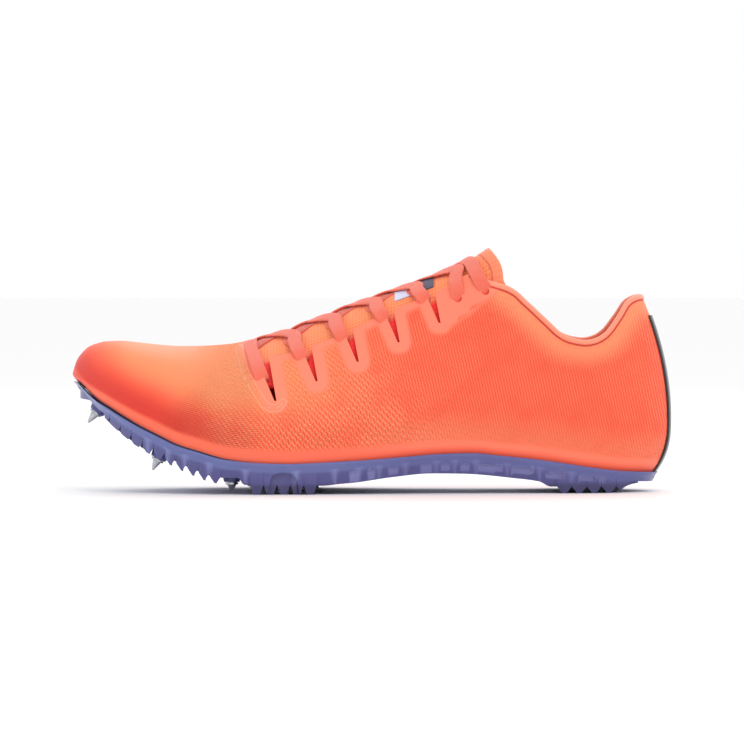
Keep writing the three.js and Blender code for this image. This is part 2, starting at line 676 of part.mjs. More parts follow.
function heelStrip() {
  const half = STRIP_WIDTH / 2;
  const low = LAST[LAST.length - 1].feather * INSTEP_HEIGHT + GAP;
  const region = sideBlock([[xAt(0.85), low], [FAR, low], [FAR, FAR], [xAt(0.85), FAR]], -half, half);
  return layer(GAP, GAP + STRIP_THICKNESS).intersect(region).subtract(aboveCollar(STRIP_DROP));
}

// Film band round the lace slots of a side: margins past the slots as shares of LENGTH, and its back end
// from the last slot's tip, back as a share of LENGTH and up as a share of INSTEP_HEIGHT.
const BAND_MARGIN = 0.0158;
const BAND_FRONT = 0.06;
const BAND_LIMIT = 0.72;
const BAND_END = [
  { back: 0.053, up: 0.07 },
  { back: 0.095, up: 0.138 },
];
function eyestayBand(side) {
  const margin = BAND_MARGIN * LENGTH;
  const [frontX, frontZ] = slotTip(0);
  const [backX, backZ] = slotTip(SLOT_COUNT - 1);
  const front = frontX - BAND_FRONT * LENGTH;
  const outline = [
    [front, frontZ + SLOT_DEPTH * INSTEP_HEIGHT],
    [frontX - margin, frontZ - margin / 4],
    [frontX, frontZ - margin],
  ];
  for (let i = 0; i < SLOT_COUNT - 1; i += 1) {
    const [x, z] = slotTip(i);
    const [nextX, nextZ] = slotTip(i + 1);
    outline.push([x + margin, z - margin / 4], [(x + nextX) / 2, (z + nextZ) / 2]);
    outline.push([nextX - margin, nextZ - margin / 2], [nextX, nextZ - margin]);
  }
  for (const row of BAND_END) outline.push([backX + row.back * LENGTH, backZ + row.up * INSTEP_HEIGHT]);
  outline.push([xAt(BAND_LIMIT), FAR], [front, FAR]);
  const region = side < 0 ? sideBlock(outline, -FAR, -GAP / 2) : sideBlock(outline, GAP / 2, FAR);
  const film = layer(GAP, GAP + BAND_THICKNESS).intersect(region);
  return film.subtract(openings()).subtract(aboveCollar(BINDING_HEIGHT));
}

// One flat stretch of lace, draped over the last from one place in plan to another.
function laceStretch(from, to) {
  const steps = 6;
  const run = new THREE.Vector2(to[0] - from[0], to[1] - from[1]);
  const across = new THREE.Vector2(-run.y, run.x).normalize().multiplyScalar(LACE_WIDTH / 2);
  const low = TONGUE_GROW + LACE_LIFT;
  const point = (v, u, grow) => {
    const x = from[0] + run.x * v + across.x * u;
    const y = from[1] + run.y * v + across.y * u;
    return new THREE.Vector3(x, y, topHeight(x, y, low) + grow);
  };
  const rings = [];
  const ringAt = (v, open) => {
    const corners = [[-1, 0], [1, 0], [1, LACE_THICKNESS], [-1, LACE_THICKNESS]];
    return corners.map(([u, grow]) => (open ? point(v, u, grow) : point(v, 0, LACE_THICKNESS / 2)));
  };
  rings.push(ringAt(0, false));
  for (let i = 0; i <= steps; i += 1) rings.push(ringAt(i / steps, true));
  rings.push(ringAt(1, false));
  return skin(rings);
}

function lace() {
  const rows = [];
  for (let i = 0; i < SLOT_COUNT; i += 1) rows.push(slotTip(i)[0] - LACE_SETBACK * LENGTH);
  for (const eyelet of EYELETS) rows.push(xAt(eyelet.at));
  const endAt = (x, side) => {
    const share = (x + LENGTH / 2) / LENGTH;
    const half = readRow(THROAT, share).half * BALL_WIDTH - LACE_END;
    return [x, readRow(LAST, share).swing * BALL_WIDTH + side * half];
  };
  let all = laceStretch(endAt(rows[0], -1), endAt(rows[0], 1));
  for (let i = 0; i < rows.length - 1; i += 1) {
    for (const side of [-1, 1]) all = all.add(laceStretch(endAt(rows[i], side), endAt(rows[i + 1], -side)));
  }
  return all;
}

// The last's widest points stand unevenly about its axis, so the group moves to put its box on the origin.
const lateralReach = Math.max(...LAST.map((row) => row.lateral - row.swing));
const medialReach = Math.max(...LAST.map((row) => row.medial + row.swing));

const group = new THREE.Group();
group.position.y = ((lateralReach - medialReach) / 2) * BALL_WIDTH;

function addPiece(name, piece, look) {
  const mesh = piece.getMesh();
  const geometry = new THREE.BufferGeometry();
  geometry.setAttribute("position", new THREE.BufferAttribute(mesh.vertProperties, 3));
  geometry.setIndex(new THREE.BufferAttribute(mesh.triVerts, 1));
  geometry.computeVertexNormals();
  const made = new THREE.Mesh(geometry, new THREE.MeshStandardMaterial(look));
  made.name = name;
  group.add(made);
}

const coral = { color: 0xff6e55, roughness: 0.5, metalness: 0 };
const film = { color: 0xff9a82, roughness: 0.4, metalness: 0 };
const lavender = { color: 0x6a6ea8, roughness: 0.45, metalness: 0 };

addPiece("upper", upper(), coral);
addPiece("spike_plate", spikePlate(), lavender);
addPiece("insole", insole(), { color: 0xd8583f, roughness: 0.9, metalness: 0 });
addPiece("tongue", tongue(), { color: 0xff9a68, roughness: 0.8, metalness: 0 });
addPiece("tongue_label", tongueLabel(), { color: 0xc9c8dc, roughness: 0.6, metalness: 0 });
addPiece("eyestay_band_lateral", eyestayBand(-1), film);
addPiece("eyestay_band_medial", eyestayBand(1), film);
addPiece("collar_binding", collarBinding(), film);
addPiece("heel_strip", heelStrip(), { color: 0x2a2630, roughness: 0.5, metalness: 0 });
addPiece("lace", lace(), { color: 0xffa48c, roughness: 0.8, metalness: 0 });
PINS.forEach((pin, i) => {
  addPiece(`spike_pin_${i + 1}`, spikePin(pin), { color: 0xb8bcc4, roughness: 0.3, metalness: 1 });
});

export default group;
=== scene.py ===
import math

import bmesh
import bpy
import numpy as np
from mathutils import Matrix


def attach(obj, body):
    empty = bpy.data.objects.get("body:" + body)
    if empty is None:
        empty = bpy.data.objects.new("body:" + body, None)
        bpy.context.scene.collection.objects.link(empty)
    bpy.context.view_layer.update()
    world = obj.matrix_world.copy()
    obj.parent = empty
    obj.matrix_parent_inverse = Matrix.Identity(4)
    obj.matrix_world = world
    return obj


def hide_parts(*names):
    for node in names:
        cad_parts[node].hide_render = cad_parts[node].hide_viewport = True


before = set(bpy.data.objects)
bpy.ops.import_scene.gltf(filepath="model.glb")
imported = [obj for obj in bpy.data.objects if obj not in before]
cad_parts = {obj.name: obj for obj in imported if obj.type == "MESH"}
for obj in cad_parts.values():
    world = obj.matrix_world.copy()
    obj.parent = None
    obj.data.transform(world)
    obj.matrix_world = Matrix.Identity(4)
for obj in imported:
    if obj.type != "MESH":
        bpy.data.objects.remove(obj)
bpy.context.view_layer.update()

# Camera
# The photo is taken square to the shoe's lateral side with a long lens, almost at floor level. Its frame is
# 744 pixels wide, and one pixel is 0.475 mm at the shoe.
MM = 0.001
PIXEL = 0.475 * MM
FRAME = 744 * PIXEL
CAMERA_DISTANCE = 3.2
CAMERA_LIFT = math.radians(1.5)
SENSOR = 36.0
FLOOR_PIXEL = 491
MIDDLE_PIXEL = 371.75
HALF_FRAME = 372
AIM = ((HALF_FRAME - MIDDLE_PIXEL) * PIXEL, 0.0, (FLOOR_PIXEL - HALF_FRAME) * PIXEL)

lens = bpy.data.cameras.new("long_lens")
lens.sensor_width = SENSOR
lens.lens = SENSOR * CAMERA_DISTANCE / FRAME
camera = bpy.data.objects.new("camera", lens)
bpy.context.scene.collection.objects.link(camera)
camera.location = (
    AIM[0],
    AIM[1] - CAMERA_DISTANCE * math.cos(CAMERA_LIFT),
    AIM[2] + CAMERA_DISTANCE * math.sin(CAMERA_LIFT),
)
camera.rotation_euler = (math.pi / 2 - CAMERA_LIFT, 0.0, 0.0)
bpy.context.scene.camera = camera

# Upper
# One shell of thin coated mesh, pulled over the last and bonded to the plate. It is open at the collar, at
# the throat, at five lace slots a side and at the top eyelets, and its edges are cut bare.
LENGTH = 285.0
BALL_WIDTH = 94.0
INSTEP_HEIGHT = 116.0
HEEL_HEIGHT = 93.0
GAP = 0.3
WALL = 1.8
BASE_TUCK = 0.085
TOE_ROUND = 60.0
HEEL_ROUND = 38.0
TOE_TUCK = 5.5
HEEL_BULGE_HEIGHT = 33.6
HEEL_TUCK = 9.5
COLLAR_LEAN = 13.0
CONE_START = 0.7
LIP_HEIGHT = 3.0
STRIP_THICKNESS = 1.0
BODY_LENGTH = LENGTH - STRIP_THICKNESS - GAP
FAR = LENGTH

LAST_COLUMNS = ("at", "feather", "belly", "crest", "lateral", "medial", "swing", "peak")
LAST = np.array([
    (0.0, 0.4465, 0.474, 0.483, 0.37, 0.36, 0.085, 2.2),
    (0.0075, 0.442, 0.468, 0.536, 0.375, 0.36, 0.083, 2.2),
    (0.015, 0.42, 0.463, 0.562, 0.385, 0.36, 0.08, 2.2),
    (0.0275, 0.389, 0.45, 0.59, 0.4, 0.36, 0.076, 2.2),
    (0.041, 0.365, 0.437, 0.603, 0.41, 0.36, 0.07, 2.2),
    (0.054, 0.348, 0.424, 0.611, 0.42, 0.36, 0.065, 2.2),
    (0.081, 0.311, 0.399, 0.614, 0.435, 0.36, 0.054, 2.15),
    (0.114, 0.27, 0.371, 0.607, 0.447, 0.363, 0.042, 2.1),
    (0.1475, 0.234, 0.347, 0.598, 0.46, 0.373, 0.032, 2.0),
    (0.181, 0.198, 0.322, 0.593, 0.475, 0.392, 0.024, 1.92),
    (0.214, 0.174, 0.301, 0.594, 0.495, 0.412, 0.017, 1.82),
    (0.264, 0.141, 0.276, 0.602, 0.517, 0.435, 0.009, 1.66),
    (0.314, 0.129, 0.264, 0.63, 0.522, 0.455, 0.002, 1.5),
    (0.364, 0.125, 0.261, 0.668, 0.512, 0.459, -0.004, 1.44),
    (0.414, 0.129, 0.267, 0.714, 0.49, 0.447, -0.009, 1.46),
    (0.464, 0.135, 0.276, 0.762, 0.462, 0.419, -0.013, 1.5),
    (0.514, 0.143, 0.284, 0.805, 0.435, 0.39, -0.016, 1.58),
    (0.564, 0.153, 0.289, 0.847, 0.407, 0.365, -0.017, 1.68),
    (0.614, 0.162, 0.288, 0.893, 0.384, 0.345, -0.016, 1.8),
    (0.664, 0.165, 0.284, 0.957, 0.366, 0.331, -0.014, 1.9),
    (0.714, 0.154, 0.276, 1.035, 0.353, 0.323, -0.011, 2.0),
    (0.781, 0.137, 0.264, 1.09, 0.341, 0.321, -0.007, 2.1),
    (0.831, 0.121, 0.252, 1.13, 0.333, 0.32, -0.004, 2.2),
    (0.881, 0.104, 0.241, 1.15, 0.325, 0.315, -0.002, 2.3),
    (0.931, 0.09, 0.25, 1.16, 0.315, 0.31, 0.0, 2.4),
    (1.0, 0.079, 0.29, 1.16, 0.305, 0.305, 0.0, 2.4),
])
SIDE_SHIFT = (np.max(LAST[:, 4] - LAST[:, 6]) - np.max(LAST[:, 5] + LAST[:, 6])) / 2 * BALL_WIDTH


def read_rows(table, at):
    """Columns of a table at shares of the length, by a cubic through its rows that never overshoots them."""
    at = np.clip(np.asarray(at, float), table[0, 0], table[-1, 0])
    run = np.diff(table[:, 0])
    slope = np.diff(table, axis=0) / run[:, None]
    before, after = slope[:-1], slope[1:]
    same = before * after > 0
    total = np.where(same, before + after, 1.0)
    inner = np.where(same, 2 * before * after / total, 0.0)
    tangent = np.vstack([slope[:1], inner, slope[-1:]])
    i = np.clip(np.searchsorted(table[:, 0], at, side="right") - 1, 0, len(run) - 1)
    t = ((at - table[i, 0]) / run[i])[..., None]
    rise = table[i + 1] - table[i]
    start = tangent[i] * run[i][..., None]
    end = tangent[i + 1] * run[i][..., None]
    return table[i] + t * (start + t * (3 * rise - 2 * start - end + t * (start + end - 2 * rise)))


def smooth(t):
    """Rises from 0 to 1 with flat ends: 3 t squared less 2 t cubed."""
    t = np.clip(t, 0, 1)
    return t * t * (3 - 2 * t)


def section_at(share, grow=0.0):
    """The last's section at shares of its length, grown outwards: widths close as circles at toe and heel."""
    share = np.asarray(share, float)
    row = dict(zip(LAST_COLUMNS, np.moveaxis(read_rows(LAST, share), -1, 0)))
    toe = np.minimum(share * BODY_LENGTH / TOE_ROUND, 1)
    heel = np.minimum((1 - share) * BODY_LENGTH / HEEL_ROUND, 1)
    closing = np.sqrt(np.maximum(1 - (1 - toe) ** 2, 0)) * np.sqrt(np.maximum(1 - (1 - heel) ** 2, 0))
    feather = row["feather"] * INSTEP_HEIGHT
    return {
        "share": share,
        "x": -LENGTH / 2 - grow + share * (BODY_LENGTH + 2 * grow),
        "feather": feather,
        "base": feather - LIP_HEIGHT,
        "belly": row["belly"] * INSTEP_HEIGHT,
        "crest": row["crest"] * INSTEP_HEIGHT + grow,
        "lateral": (row["lateral"] * BALL_WIDTH + grow) * closing,
        "medial": (row["medial"] * BALL_WIDTH + grow) * closing,
        "ridge": row["swing"] * BALL_WIDTH,
        "peak": row["peak"],
    }


def lean_at(section, z):
    """Shift along x: toe and heel tuck in towards the plate, and the back leans forward to the collar."""
    low = np.maximum(z, section["base"])
    below = np.maximum((section["belly"] - low) / (section["belly"] - section["base"]), 0)
    toe = TOE_TUCK * below ** 1.3 * (1 - smooth(section["share"] * LENGTH / TOE_ROUND))
    blend = smooth((section["share"] - CONE_START) / (1 - CONE_START))
    up = np.maximum(z - HEEL_BULGE_HEIGHT, 0) / (HEEL_HEIGHT - HEEL_BULGE_HEIGHT)
    down = np.maximum(HEEL_BULGE_HEIGHT - low, 0) / (HEEL_BULGE_HEIGHT - section["base"])
    return toe - blend * (COLLAR_LEAN * up ** 2 + HEEL_TUCK * down ** 2.6)


def width_share(section, z):
    """Half width at a height as a share of the widest: a superellipse over the belly, a tuck under it."""
    up = np.clip((z - section["belly"]) / (section["crest"] - section["belly"]), 0, 1)
    over = np.maximum(1 - up ** section["peak"], 0) ** (1 / section["peak"])
    below = np.clip((section["belly"] - z) / (section["belly"] - section["base"]), 0, 1)
    return np.where(z >= section["belly"], over, 1 - BASE_TUCK * below ** 2)


def x_at(share):
    """Place along the shoe, in millimetres from its middle, of a share of its length."""
    return -LENGTH / 2 + np.asarray(share, float) * LENGTH


def plan_share(x):
    """Share of the length at a place along the shoe: the other way round from x_at."""
    return (x + LENGTH / 2) / LENGTH


def share_of(x, z, grow=0.0):
    """Share of the length of points of the last's surface, with the lean taken off in four rounds."""
    share = plan_share(x)
    for _ in range(4):
        share = (x - lean_at(section_at(np.clip(share, 0, 1)), z) + LENGTH / 2 + grow)
        share = share / (BODY_LENGTH + 2 * grow)
    return np.clip(share, 0, 1)


def top_height(x, y, grow=0.0):
    """Height of the last's top over a place in plan, ahead of where the heel starts to lean."""
    section = section_at((x + LENGTH / 2 + grow) / (BODY_LENGTH + 2 * grow), grow)
    half = np.where(y < section["ridge"], section["lateral"], section["medial"])
    out = np.clip(np.abs(y - section["ridge"]) / half, 0, 1)
    rise = (1 - out ** section["peak"]) ** (1 / section["peak"])
    return section["belly"] + (section["crest"] - section["belly"]) * rise


def stations(count, first=0.0, last=1.0):
    """Shares of the length, packed closer together towards the toe and the heel."""
    start, end = math.acos(1 - 2 * first), math.acos(1 - 2 * last)
    return (1 - np.cos(np.linspace(start, end, count))) / 2


def mesh_piece(name, points, faces, fields=None):
    """A new object at the origin from points in millimetres of the shoe's own axes and a list of faces."""
    mesh = bpy.data.meshes.new(name)
    placed = (points + np.array([0, SIDE_SHIFT, 0])) * MM
    mesh.from_pydata(placed.tolist(), [], [tuple(face) for face in faces])
    for key, values in (fields or {}).items():
        layer = mesh.attributes.new(key, "FLOAT", "POINT")
        layer.data.foreach_set("value", np.asarray(values, np.float32).ravel())
    piece = bpy.data.objects.new(name, mesh)
    bpy.context.scene.collection.objects.link(piece)
    return piece


def close_up(piece):
    """Merges what meets at seams and poles, drops what has no area, and turns all faces outwards."""
    work = bmesh.new()
    work.from_mesh(piece.data)
    bmesh.ops.remove_doubles(work, verts=work.verts, dist=1e-7)
    bmesh.ops.dissolve_degenerate(work, dist=1e-8, edges=work.edges)
    bmesh.ops.recalc_face_normals(work, faces=work.faces)
    if work.calc_volume(signed=True) < 0:
        bmesh.ops.reverse_faces(work, faces=work.faces)
    work.to_mesh(piece.data)
    work.free()
    return piece


def grid_faces(rows, columns, wrap):
    """Quads of a grid of points, closed round its columns when wrap is set."""
    i = np.arange(rows - 1)[:, None] * columns
    j = np.arange(columns if wrap else columns - 1)[None, :]
    k = (j + 1) % columns
    quads = np.stack([i + j, i + k, i + columns + k, i + columns + j], axis=-1)
    return quads.reshape(-1, 4).tolist()


def ring_skin(name, rings, fields=None):
    """A closed piece from rows of ring points, with a flat cap at each end that isn't already a line."""
    rows, columns, _ = rings.shape
    faces = grid_faces(rows, columns, True)
    faces.append(list(range(columns))[::-1])
    faces.append([(rows - 1) * columns + j for j in range(columns)])
    return close_up(mesh_piece(name, rings.reshape(-1, 3), faces, fields))


def last_rings(shares, grow, drop, tucks, arcs, swell=None):
    """Rings of the whole last: foot middle, up the lateral wall, over the crest, down the medial wall.
    swell moves points outwards by millimetres worked out from the share, the height and the side."""
    section = {key: value[:, None] for key, value in section_at(shares, grow).items()}
    tuck = np.arange(tucks) / tucks
    under = section["base"] + (section["belly"] - section["base"]) * tuck
    rise = np.sin(np.pi / 2 * np.linspace(0, 1, arcs + 1)) ** (2 / section["peak"])
    over = section["belly"] + (section["crest"] - section["belly"]) * rise
    z = np.hstack([section["base"] - drop, under, over])
    x = section["x"] + lean_at(section, z)
    share = width_share(section, z)
    walls = []
    for side, half in ((-1, section["lateral"]), (1, section["medial"])):
        wall = np.stack([x, section["ridge"] + side * half * share, z], axis=-1)
        if swell is not None:
            wall = wall + swell(section, wall, side)
        walls.append(wall)
    foot_x = section["x"] + lean_at(section, section["base"])
    foot = np.stack([foot_x, section["ridge"], section["base"] - drop], axis=-1)
    return np.concatenate([foot, walls[0], walls[1][:, -2::-1]], axis=1)


def last_form(name, shares, grow, drop, tucks, arcs, swell=None):
    """The whole last as a closed piece."""
    return ring_skin(name, last_rings(shares, grow, drop, tucks, arcs, swell))


def block(name, outline, low, high, flat):
    """A block with an outline in side view (x, z) that runs across y, or in plan (x, y) that runs up z."""
    outline = np.asarray(outline, float)
    count = len(outline)
    order = (0, 2, 1) if flat == "side" else (0, 1, 2)
    ends = []
    for level in (low, high):
        ends.append(np.column_stack([outline, np.full(count, level)])[:, order])
    faces = [list(range(count)), list(range(count, 2 * count))]
    for i in range(count):
        k = (i + 1) % count
        faces.append([i, k, count + k, count + i])
    return close_up(mesh_piece(name, np.vstack(ends), faces))


def combine(piece, *others, how="DIFFERENCE"):
    """Cuts, joins or keeps what is common between a piece and others, which are used up."""
    for other in others:
        step = piece.modifiers.new("combine", "BOOLEAN")
        step.operation = how
        step.solver = "MANIFOLD"
        step.object = other
        shown = piece.evaluated_get(bpy.context.evaluated_depsgraph_get())
        mesh = bpy.data.meshes.new_from_object(shown)
        piece.modifiers.clear()
        old = piece.data
        piece.data = mesh
        bpy.data.meshes.remove(old)
        bpy.data.objects.remove(other, do_unlink=True)
    return piece


COLLAR = np.array([
    (0.676, 1.094), (0.731, 1.042), (0.76, 0.968), (0.79, 0.882), (0.815, 0.812), (0.838, 0.784),
    (0.862, 0.781), (0.885, 0.816), (0.906, 0.9), (0.922, 0.973), (0.943, 1.005), (0.965, 1.0), (1.0, 0.985),
])
THROAT = np.array([
    (0.296, 0.0), (0.297, 0.12), (0.3, 0.18), (0.309, 0.22), (0.36, 0.24), (0.42, 0.225), (0.48, 0.198),
    (0.54, 0.17), (0.6, 0.158), (0.66, 0.152), (0.7, 0.152), (0.74, 0.152),
])
COLLAR_OVERRUN = 0.014
THROAT_FLOOR = 0.4
BINDING_HEIGHT = 2.8


def smooth_line(points, count):
    """A curve through points: cubic stretches with slopes from the neighbours on each side."""
    points = np.asarray(points, float)
    t = np.linspace(0, len(points) - 1, count)
    i = np.clip(t.astype(int), 0, len(points) - 2)
    u = (t - i)[:, None]
    a = points[np.maximum(i - 1, 0)]
    b = points[i]
    c = points[i + 1]
    d = points[np.minimum(i + 2, len(points) - 1)]
    return b + u * ((c - a) / 2 + u * (a - 2.5 * b + 2 * c - d / 2 + u * (-a + 3 * b - 3 * c + d) / 2))


def unit(rows):
    """Rows of directions brought to a length of 1."""
    return rows / np.linalg.norm(rows, axis=1)[:, None]


def collar_line(count, drop=0.0):
    """Points of the collar edge in side view, moved square to it by drop, and their directions."""
    line = smooth_line(np.column_stack([x_at(COLLAR[:, 0]), COLLAR[:, 1] * HEEL_HEIGHT]), count)
    run = unit(np.gradient(line, axis=0))
    return line + np.column_stack([run[:, 1], -run[:, 0]]) * drop, run


def above_collar(drop):
    """The region over the collar edge, moved square to it by drop."""
    moved, run = collar_line(97, drop)
    past = COLLAR_OVERRUN * LENGTH
    start = moved[0] - run[0] * past
    ends = [(moved[-1, 0] + FAR, moved[-1, 1]), (moved[-1, 0] + FAR, FAR), (moved[0, 0] - past, FAR)]
    return block("above_collar", np.vstack([start, moved, ends]), -FAR, FAR, "side")


def throat_half(share):
    """Half width of the throat in millimetres at shares of the length, straight between its rows."""
    return np.interp(share, THROAT[:, 0], THROAT[:, 1]) * BALL_WIDTH


def throat_block(grow):
    """The throat in plan: a slot with a blunt front, centred on the ridge line."""
    share = THROAT[0, 0] + (THROAT[-1, 0] - THROAT[0, 0]) * np.linspace(0, 1, 60) ** 1.8
    half = read_rows(THROAT, share)[:, 1] * BALL_WIDTH + grow
    ridge = section_at(share)["ridge"]
    x = x_at(share)
    x[0] -= grow
    lateral = np.column_stack([x, ridge - half])
    medial = np.column_stack([x, ridge + half])[::-1]
    return block("throat", np.vstack([lateral, medial]), INSTEP_HEIGHT * THROAT_FLOOR, FAR, "plan")


SLOT_COUNT = 5
SLOT_FIRST = (0.3415, 0.379)
SLOT_PITCH = 0.0677
SLOT_RISE = 0.0783
SLOT_DEPTH = 0.224
SLOT_TIP = 0.0035
SLOT_TOP = 0.0246
SLOT_LEAN = 0.0175
EYELETS = ((0.6425, 0.792), (0.688, 0.822))
EYELET_RADIUS = 1.9
EYELET_SIDES = 24
SIDE_CUT = 1 / 16


def slot_tip(i):
    """The lower end of a lace slot in side view."""
    x = float(x_at(SLOT_FIRST[0] + i * SLOT_PITCH))
    return x, (SLOT_FIRST[1] + i * SLOT_RISE) * INSTEP_HEIGHT


def slot_outline(i):
    """A lace slot in side view: a V that leans forward towards the throat."""
    x, z = slot_tip(i)
    half = SLOT_TIP * LENGTH / 2
    top = z + SLOT_DEPTH * INSTEP_HEIGHT
    return [
        (x - half, z),
        (x + half, z),
        (x + half - SLOT_LEAN * LENGTH, top),
        (x - (SLOT_LEAN + SLOT_TOP) * LENGTH, top),
    ]


def openings():
    """The cutters of the throat, the lace slots and the top eyelets."""
    cutters = [throat_block(0)]
    turn = np.linspace(0, 2 * np.pi, EYELET_SIDES, endpoint=False)
    for side in (-1, 1):
        low, high = sorted((side * BALL_WIDTH * SIDE_CUT, side * FAR))
        for i in range(SLOT_COUNT):
            cutters.append(block("slot", slot_outline(i), low, high, "side"))
        for at, height in EYELETS:
            ring = np.column_stack([
                x_at(at) + EYELET_RADIUS * np.cos(turn),
                height * INSTEP_HEIGHT + EYELET_RADIUS * np.sin(turn),
            ])
            cutters.append(block("eyelet", ring, low, high, "side"))
    return cutters


CREASES = (
    ((-70.0, 60.0), (-62.0, 44.0), (-50.0, 28.0)), ((-58.0, 58.0), (-47.0, 38.0), (-34.0, 24.0)),
    ((-22.0, 48.0), (-12.0, 36.0), (0.0, 27.0)), ((34.0, 74.0), (46.0, 56.0), (62.0, 42.0)),
    ((80.0, 68.0), (86.0, 52.0), (90.0, 36.0)), ((112.0, 80.0), (104.0, 60.0), (102.0, 40.0)),
)
CREASE_DEPTH = 0.5
CREASE_WIDTH = 3.5
HEM_HOLLOW = 0.8
HEM_SWELL = 0.4
COLLAR_PAD = 0.7
EDGE_IN_BINDING = 1.3
HEM_SWELL_HEIGHT = 2.5
HEM_HOLLOW_HEIGHT = 9.5
COLLAR_PAD_DROP = 8.0
COLLAR_PAD_WIDTH = 5.0
RIDGE_REST = 12.0


def line_distance(x, z, outline, closed=True):
    """Least distance in side view to a line of points: to each stretch the clamped foot of the square."""
    line = np.asarray(outline, float)
    ends = np.roll(line, -1, axis=0) if closed else line[1:]
    best = np.full(x.shape, FAR)
    for (ax, az), (bx, bz) in zip(line[:len(ends)], ends):
        run_x, run_z = bx - ax, bz - az
        t = np.clip(((x - ax) * run_x + (z - az) * run_z) / (run_x ** 2 + run_z ** 2 + 1e-9), 0, 1)
        best = np.minimum(best, np.hypot(x - ax - t * run_x, z - az - t * run_z))
    return best


def hump(distance, width):
    """A soft bell of height 1 round a distance of 0."""
    return np.exp(-(distance / width) ** 2)


def soft_form(section, wall, side):
    """Moves the upper out or in: a hollow over its hem, a padded collar and the main soft creases. It dies
    out towards the ridge, where the two walls meet."""
    x, y, z = np.moveaxis(wall, -1, 0)
    rise = z - section["feather"]
    amount = HEM_SWELL * hump(rise - HEM_SWELL_HEIGHT, 2.5) - HEM_HOLLOW * hump(rise - HEM_HOLLOW_HEIGHT, 4.0)
    under_collar = line_distance(x, z, collar_line(40)[0], False) - COLLAR_PAD_DROP
    amount = amount + COLLAR_PAD * hump(under_collar, COLLAR_PAD_WIDTH)
    for crease in CREASES:
        amount = amount - CREASE_DEPTH * hump(line_distance(x, z, crease, False), CREASE_WIDTH)
    away = np.clip(np.abs(y - section["ridge"]) / RIDGE_REST, 0, 1)
    return np.stack([0 * x, side * amount * away, 0 * x], axis=-1)


upper = last_form("upper_shell", stations(300), 0.0, 0.0, 8, 44, soft_form)
inside = last_form("inside", stations(140), -WALL, LIP_HEIGHT, 4, 24)
combine(upper, inside, above_collar(EDGE_IN_BINDING), *openings())


def new_material(name, rough, sheen=0.0, coat=0.0):
    """A material with its shader, its output and an Object coordinate node."""
    material = bpy.data.materials.new(name)
    material.use_nodes = True
    tree = material.node_tree
    shader = tree.nodes["Principled BSDF"]
    shader.inputs["Roughness"].default_value = rough
    shader.inputs["Sheen Weight"].default_value = sheen
    shader.inputs["Coat Weight"].default_value = coat
    place = tree.nodes.new("ShaderNodeTexCoord")
    return material, tree, shader, place.outputs["Object"]


def own_points(piece):
    """The piece's points in millimetres of the shoe's own axes."""
    flat = np.empty(len(piece.data.vertices) * 3)
    piece.data.vertices.foreach_get("co", flat)
    return flat.reshape(-1, 3) / MM - np.array([0, SIDE_SHIFT, 0])


def set_field(piece, name, values):
    """Keeps a number for each point, for the materials to read."""
    layer = piece.data.attributes.new(name, "FLOAT", "POINT")
    layer.data.foreach_set("value", np.asarray(values, np.float32))


FILM_BORDER = 4.6
FILM_SOFT = 2.2
FILM_AT_THROAT = 2.6
TOP_TAB = ((32.0, 76.5), (45.0, 84.0), (53.5, 91.0), (60.0, 97.5), (60.0, 120.0), (30.0, 120.0))
TAB_END = 0.71


def film_depth(x, y, z):
    """How far inside the eyestay film a point lies: round the slots, along the throat, and the top tab."""
    section = section_at(np.clip(plan_share(x), 0, 1))
    half = throat_half(plan_share(x))
    slots = np.min([line_distance(x, z, slot_outline(i)) for i in range(SLOT_COUNT)], axis=0)
    edge = np.where(x > x_at(TAB_END), FAR, np.maximum(np.abs(y - section["ridge"]) - half, 0))
    throat = np.where(x > x_at(THROAT[0, 0]), edge, np.hypot(edge, x - x_at(THROAT[0, 0])))
    tab = line_distance(x, z, TOP_TAB)
    left, right = np.array(TOP_TAB[0]), np.array(TOP_TAB[3])
    over = (x - left[0]) * (right[1] - left[1]) < (z - left[1]) * (right[0] - left[0])
    inside_tab = over & (x > left[0]) & (x < right[0] + 20)
    tab = np.where(inside_tab, tab, -tab)
    return np.maximum.reduce([FILM_BORDER - slots, FILM_AT_THROAT - throat, tab])


WELT = (
    (-63.0, 68.0), (-60.0, 58.5), (-55.5, 49.5), (-50.5, 42.5), (-47.5, 40.4), (-44.0, 40.6), (-41.5, 43.5),
)
TABLE_ROWS = 81
TABLE_LEVELS = 41


def around_at(share, z):
    """Length of the way up a wall of the last from its foot, read from a table of sections."""
    shares = np.linspace(0, 1, TABLE_ROWS)
    level = np.linspace(0, 1, TABLE_LEVELS)
    table = {key: value[:, None] for key, value in section_at(shares).items()}
    heights = table["base"] + (table["crest"] - table["base"]) * np.sin(np.pi / 2 * level)
    half = table["lateral"] * width_share(table, heights)
    run = np.hypot(np.diff(half, axis=1), np.diff(heights, axis=1))
    length = np.hstack([np.zeros((TABLE_ROWS, 1)), np.cumsum(run, axis=1)])
    section = section_at(share)
    up = np.clip((z - section["base"]) / (section["crest"] - section["base"]), 0, 1)
    column = np.arcsin(up) / (np.pi / 2) * (TABLE_LEVELS - 1)
    row = share * (TABLE_ROWS - 1)
    i = np.minimum(row.astype(int), TABLE_ROWS - 2)
    j = np.minimum(column.astype(int), TABLE_LEVELS - 2)
    u, v = row - i, column - j
    low = length[i, j] * (1 - v) + length[i, j + 1] * v
    high = length[i + 1, j] * (1 - v) + length[i + 1, j + 1] * v
    return low * (1 - u) + high * u


points = own_points(upper)
x, y, z = points.T
share = share_of(x, z)
section = section_at(share)
set_field(upper, "along", x)
set_field(upper, "around", around_at(share, z))
set_field(upper, "rise", z - section["feather"])
set_field(upper, "film", film_depth(x, y, z))
set_field(upper, "rim", line_distance(x, z, collar_line(80)[0], False))
set_field(upper, "welt", line_distance(x, z, WELT, False))


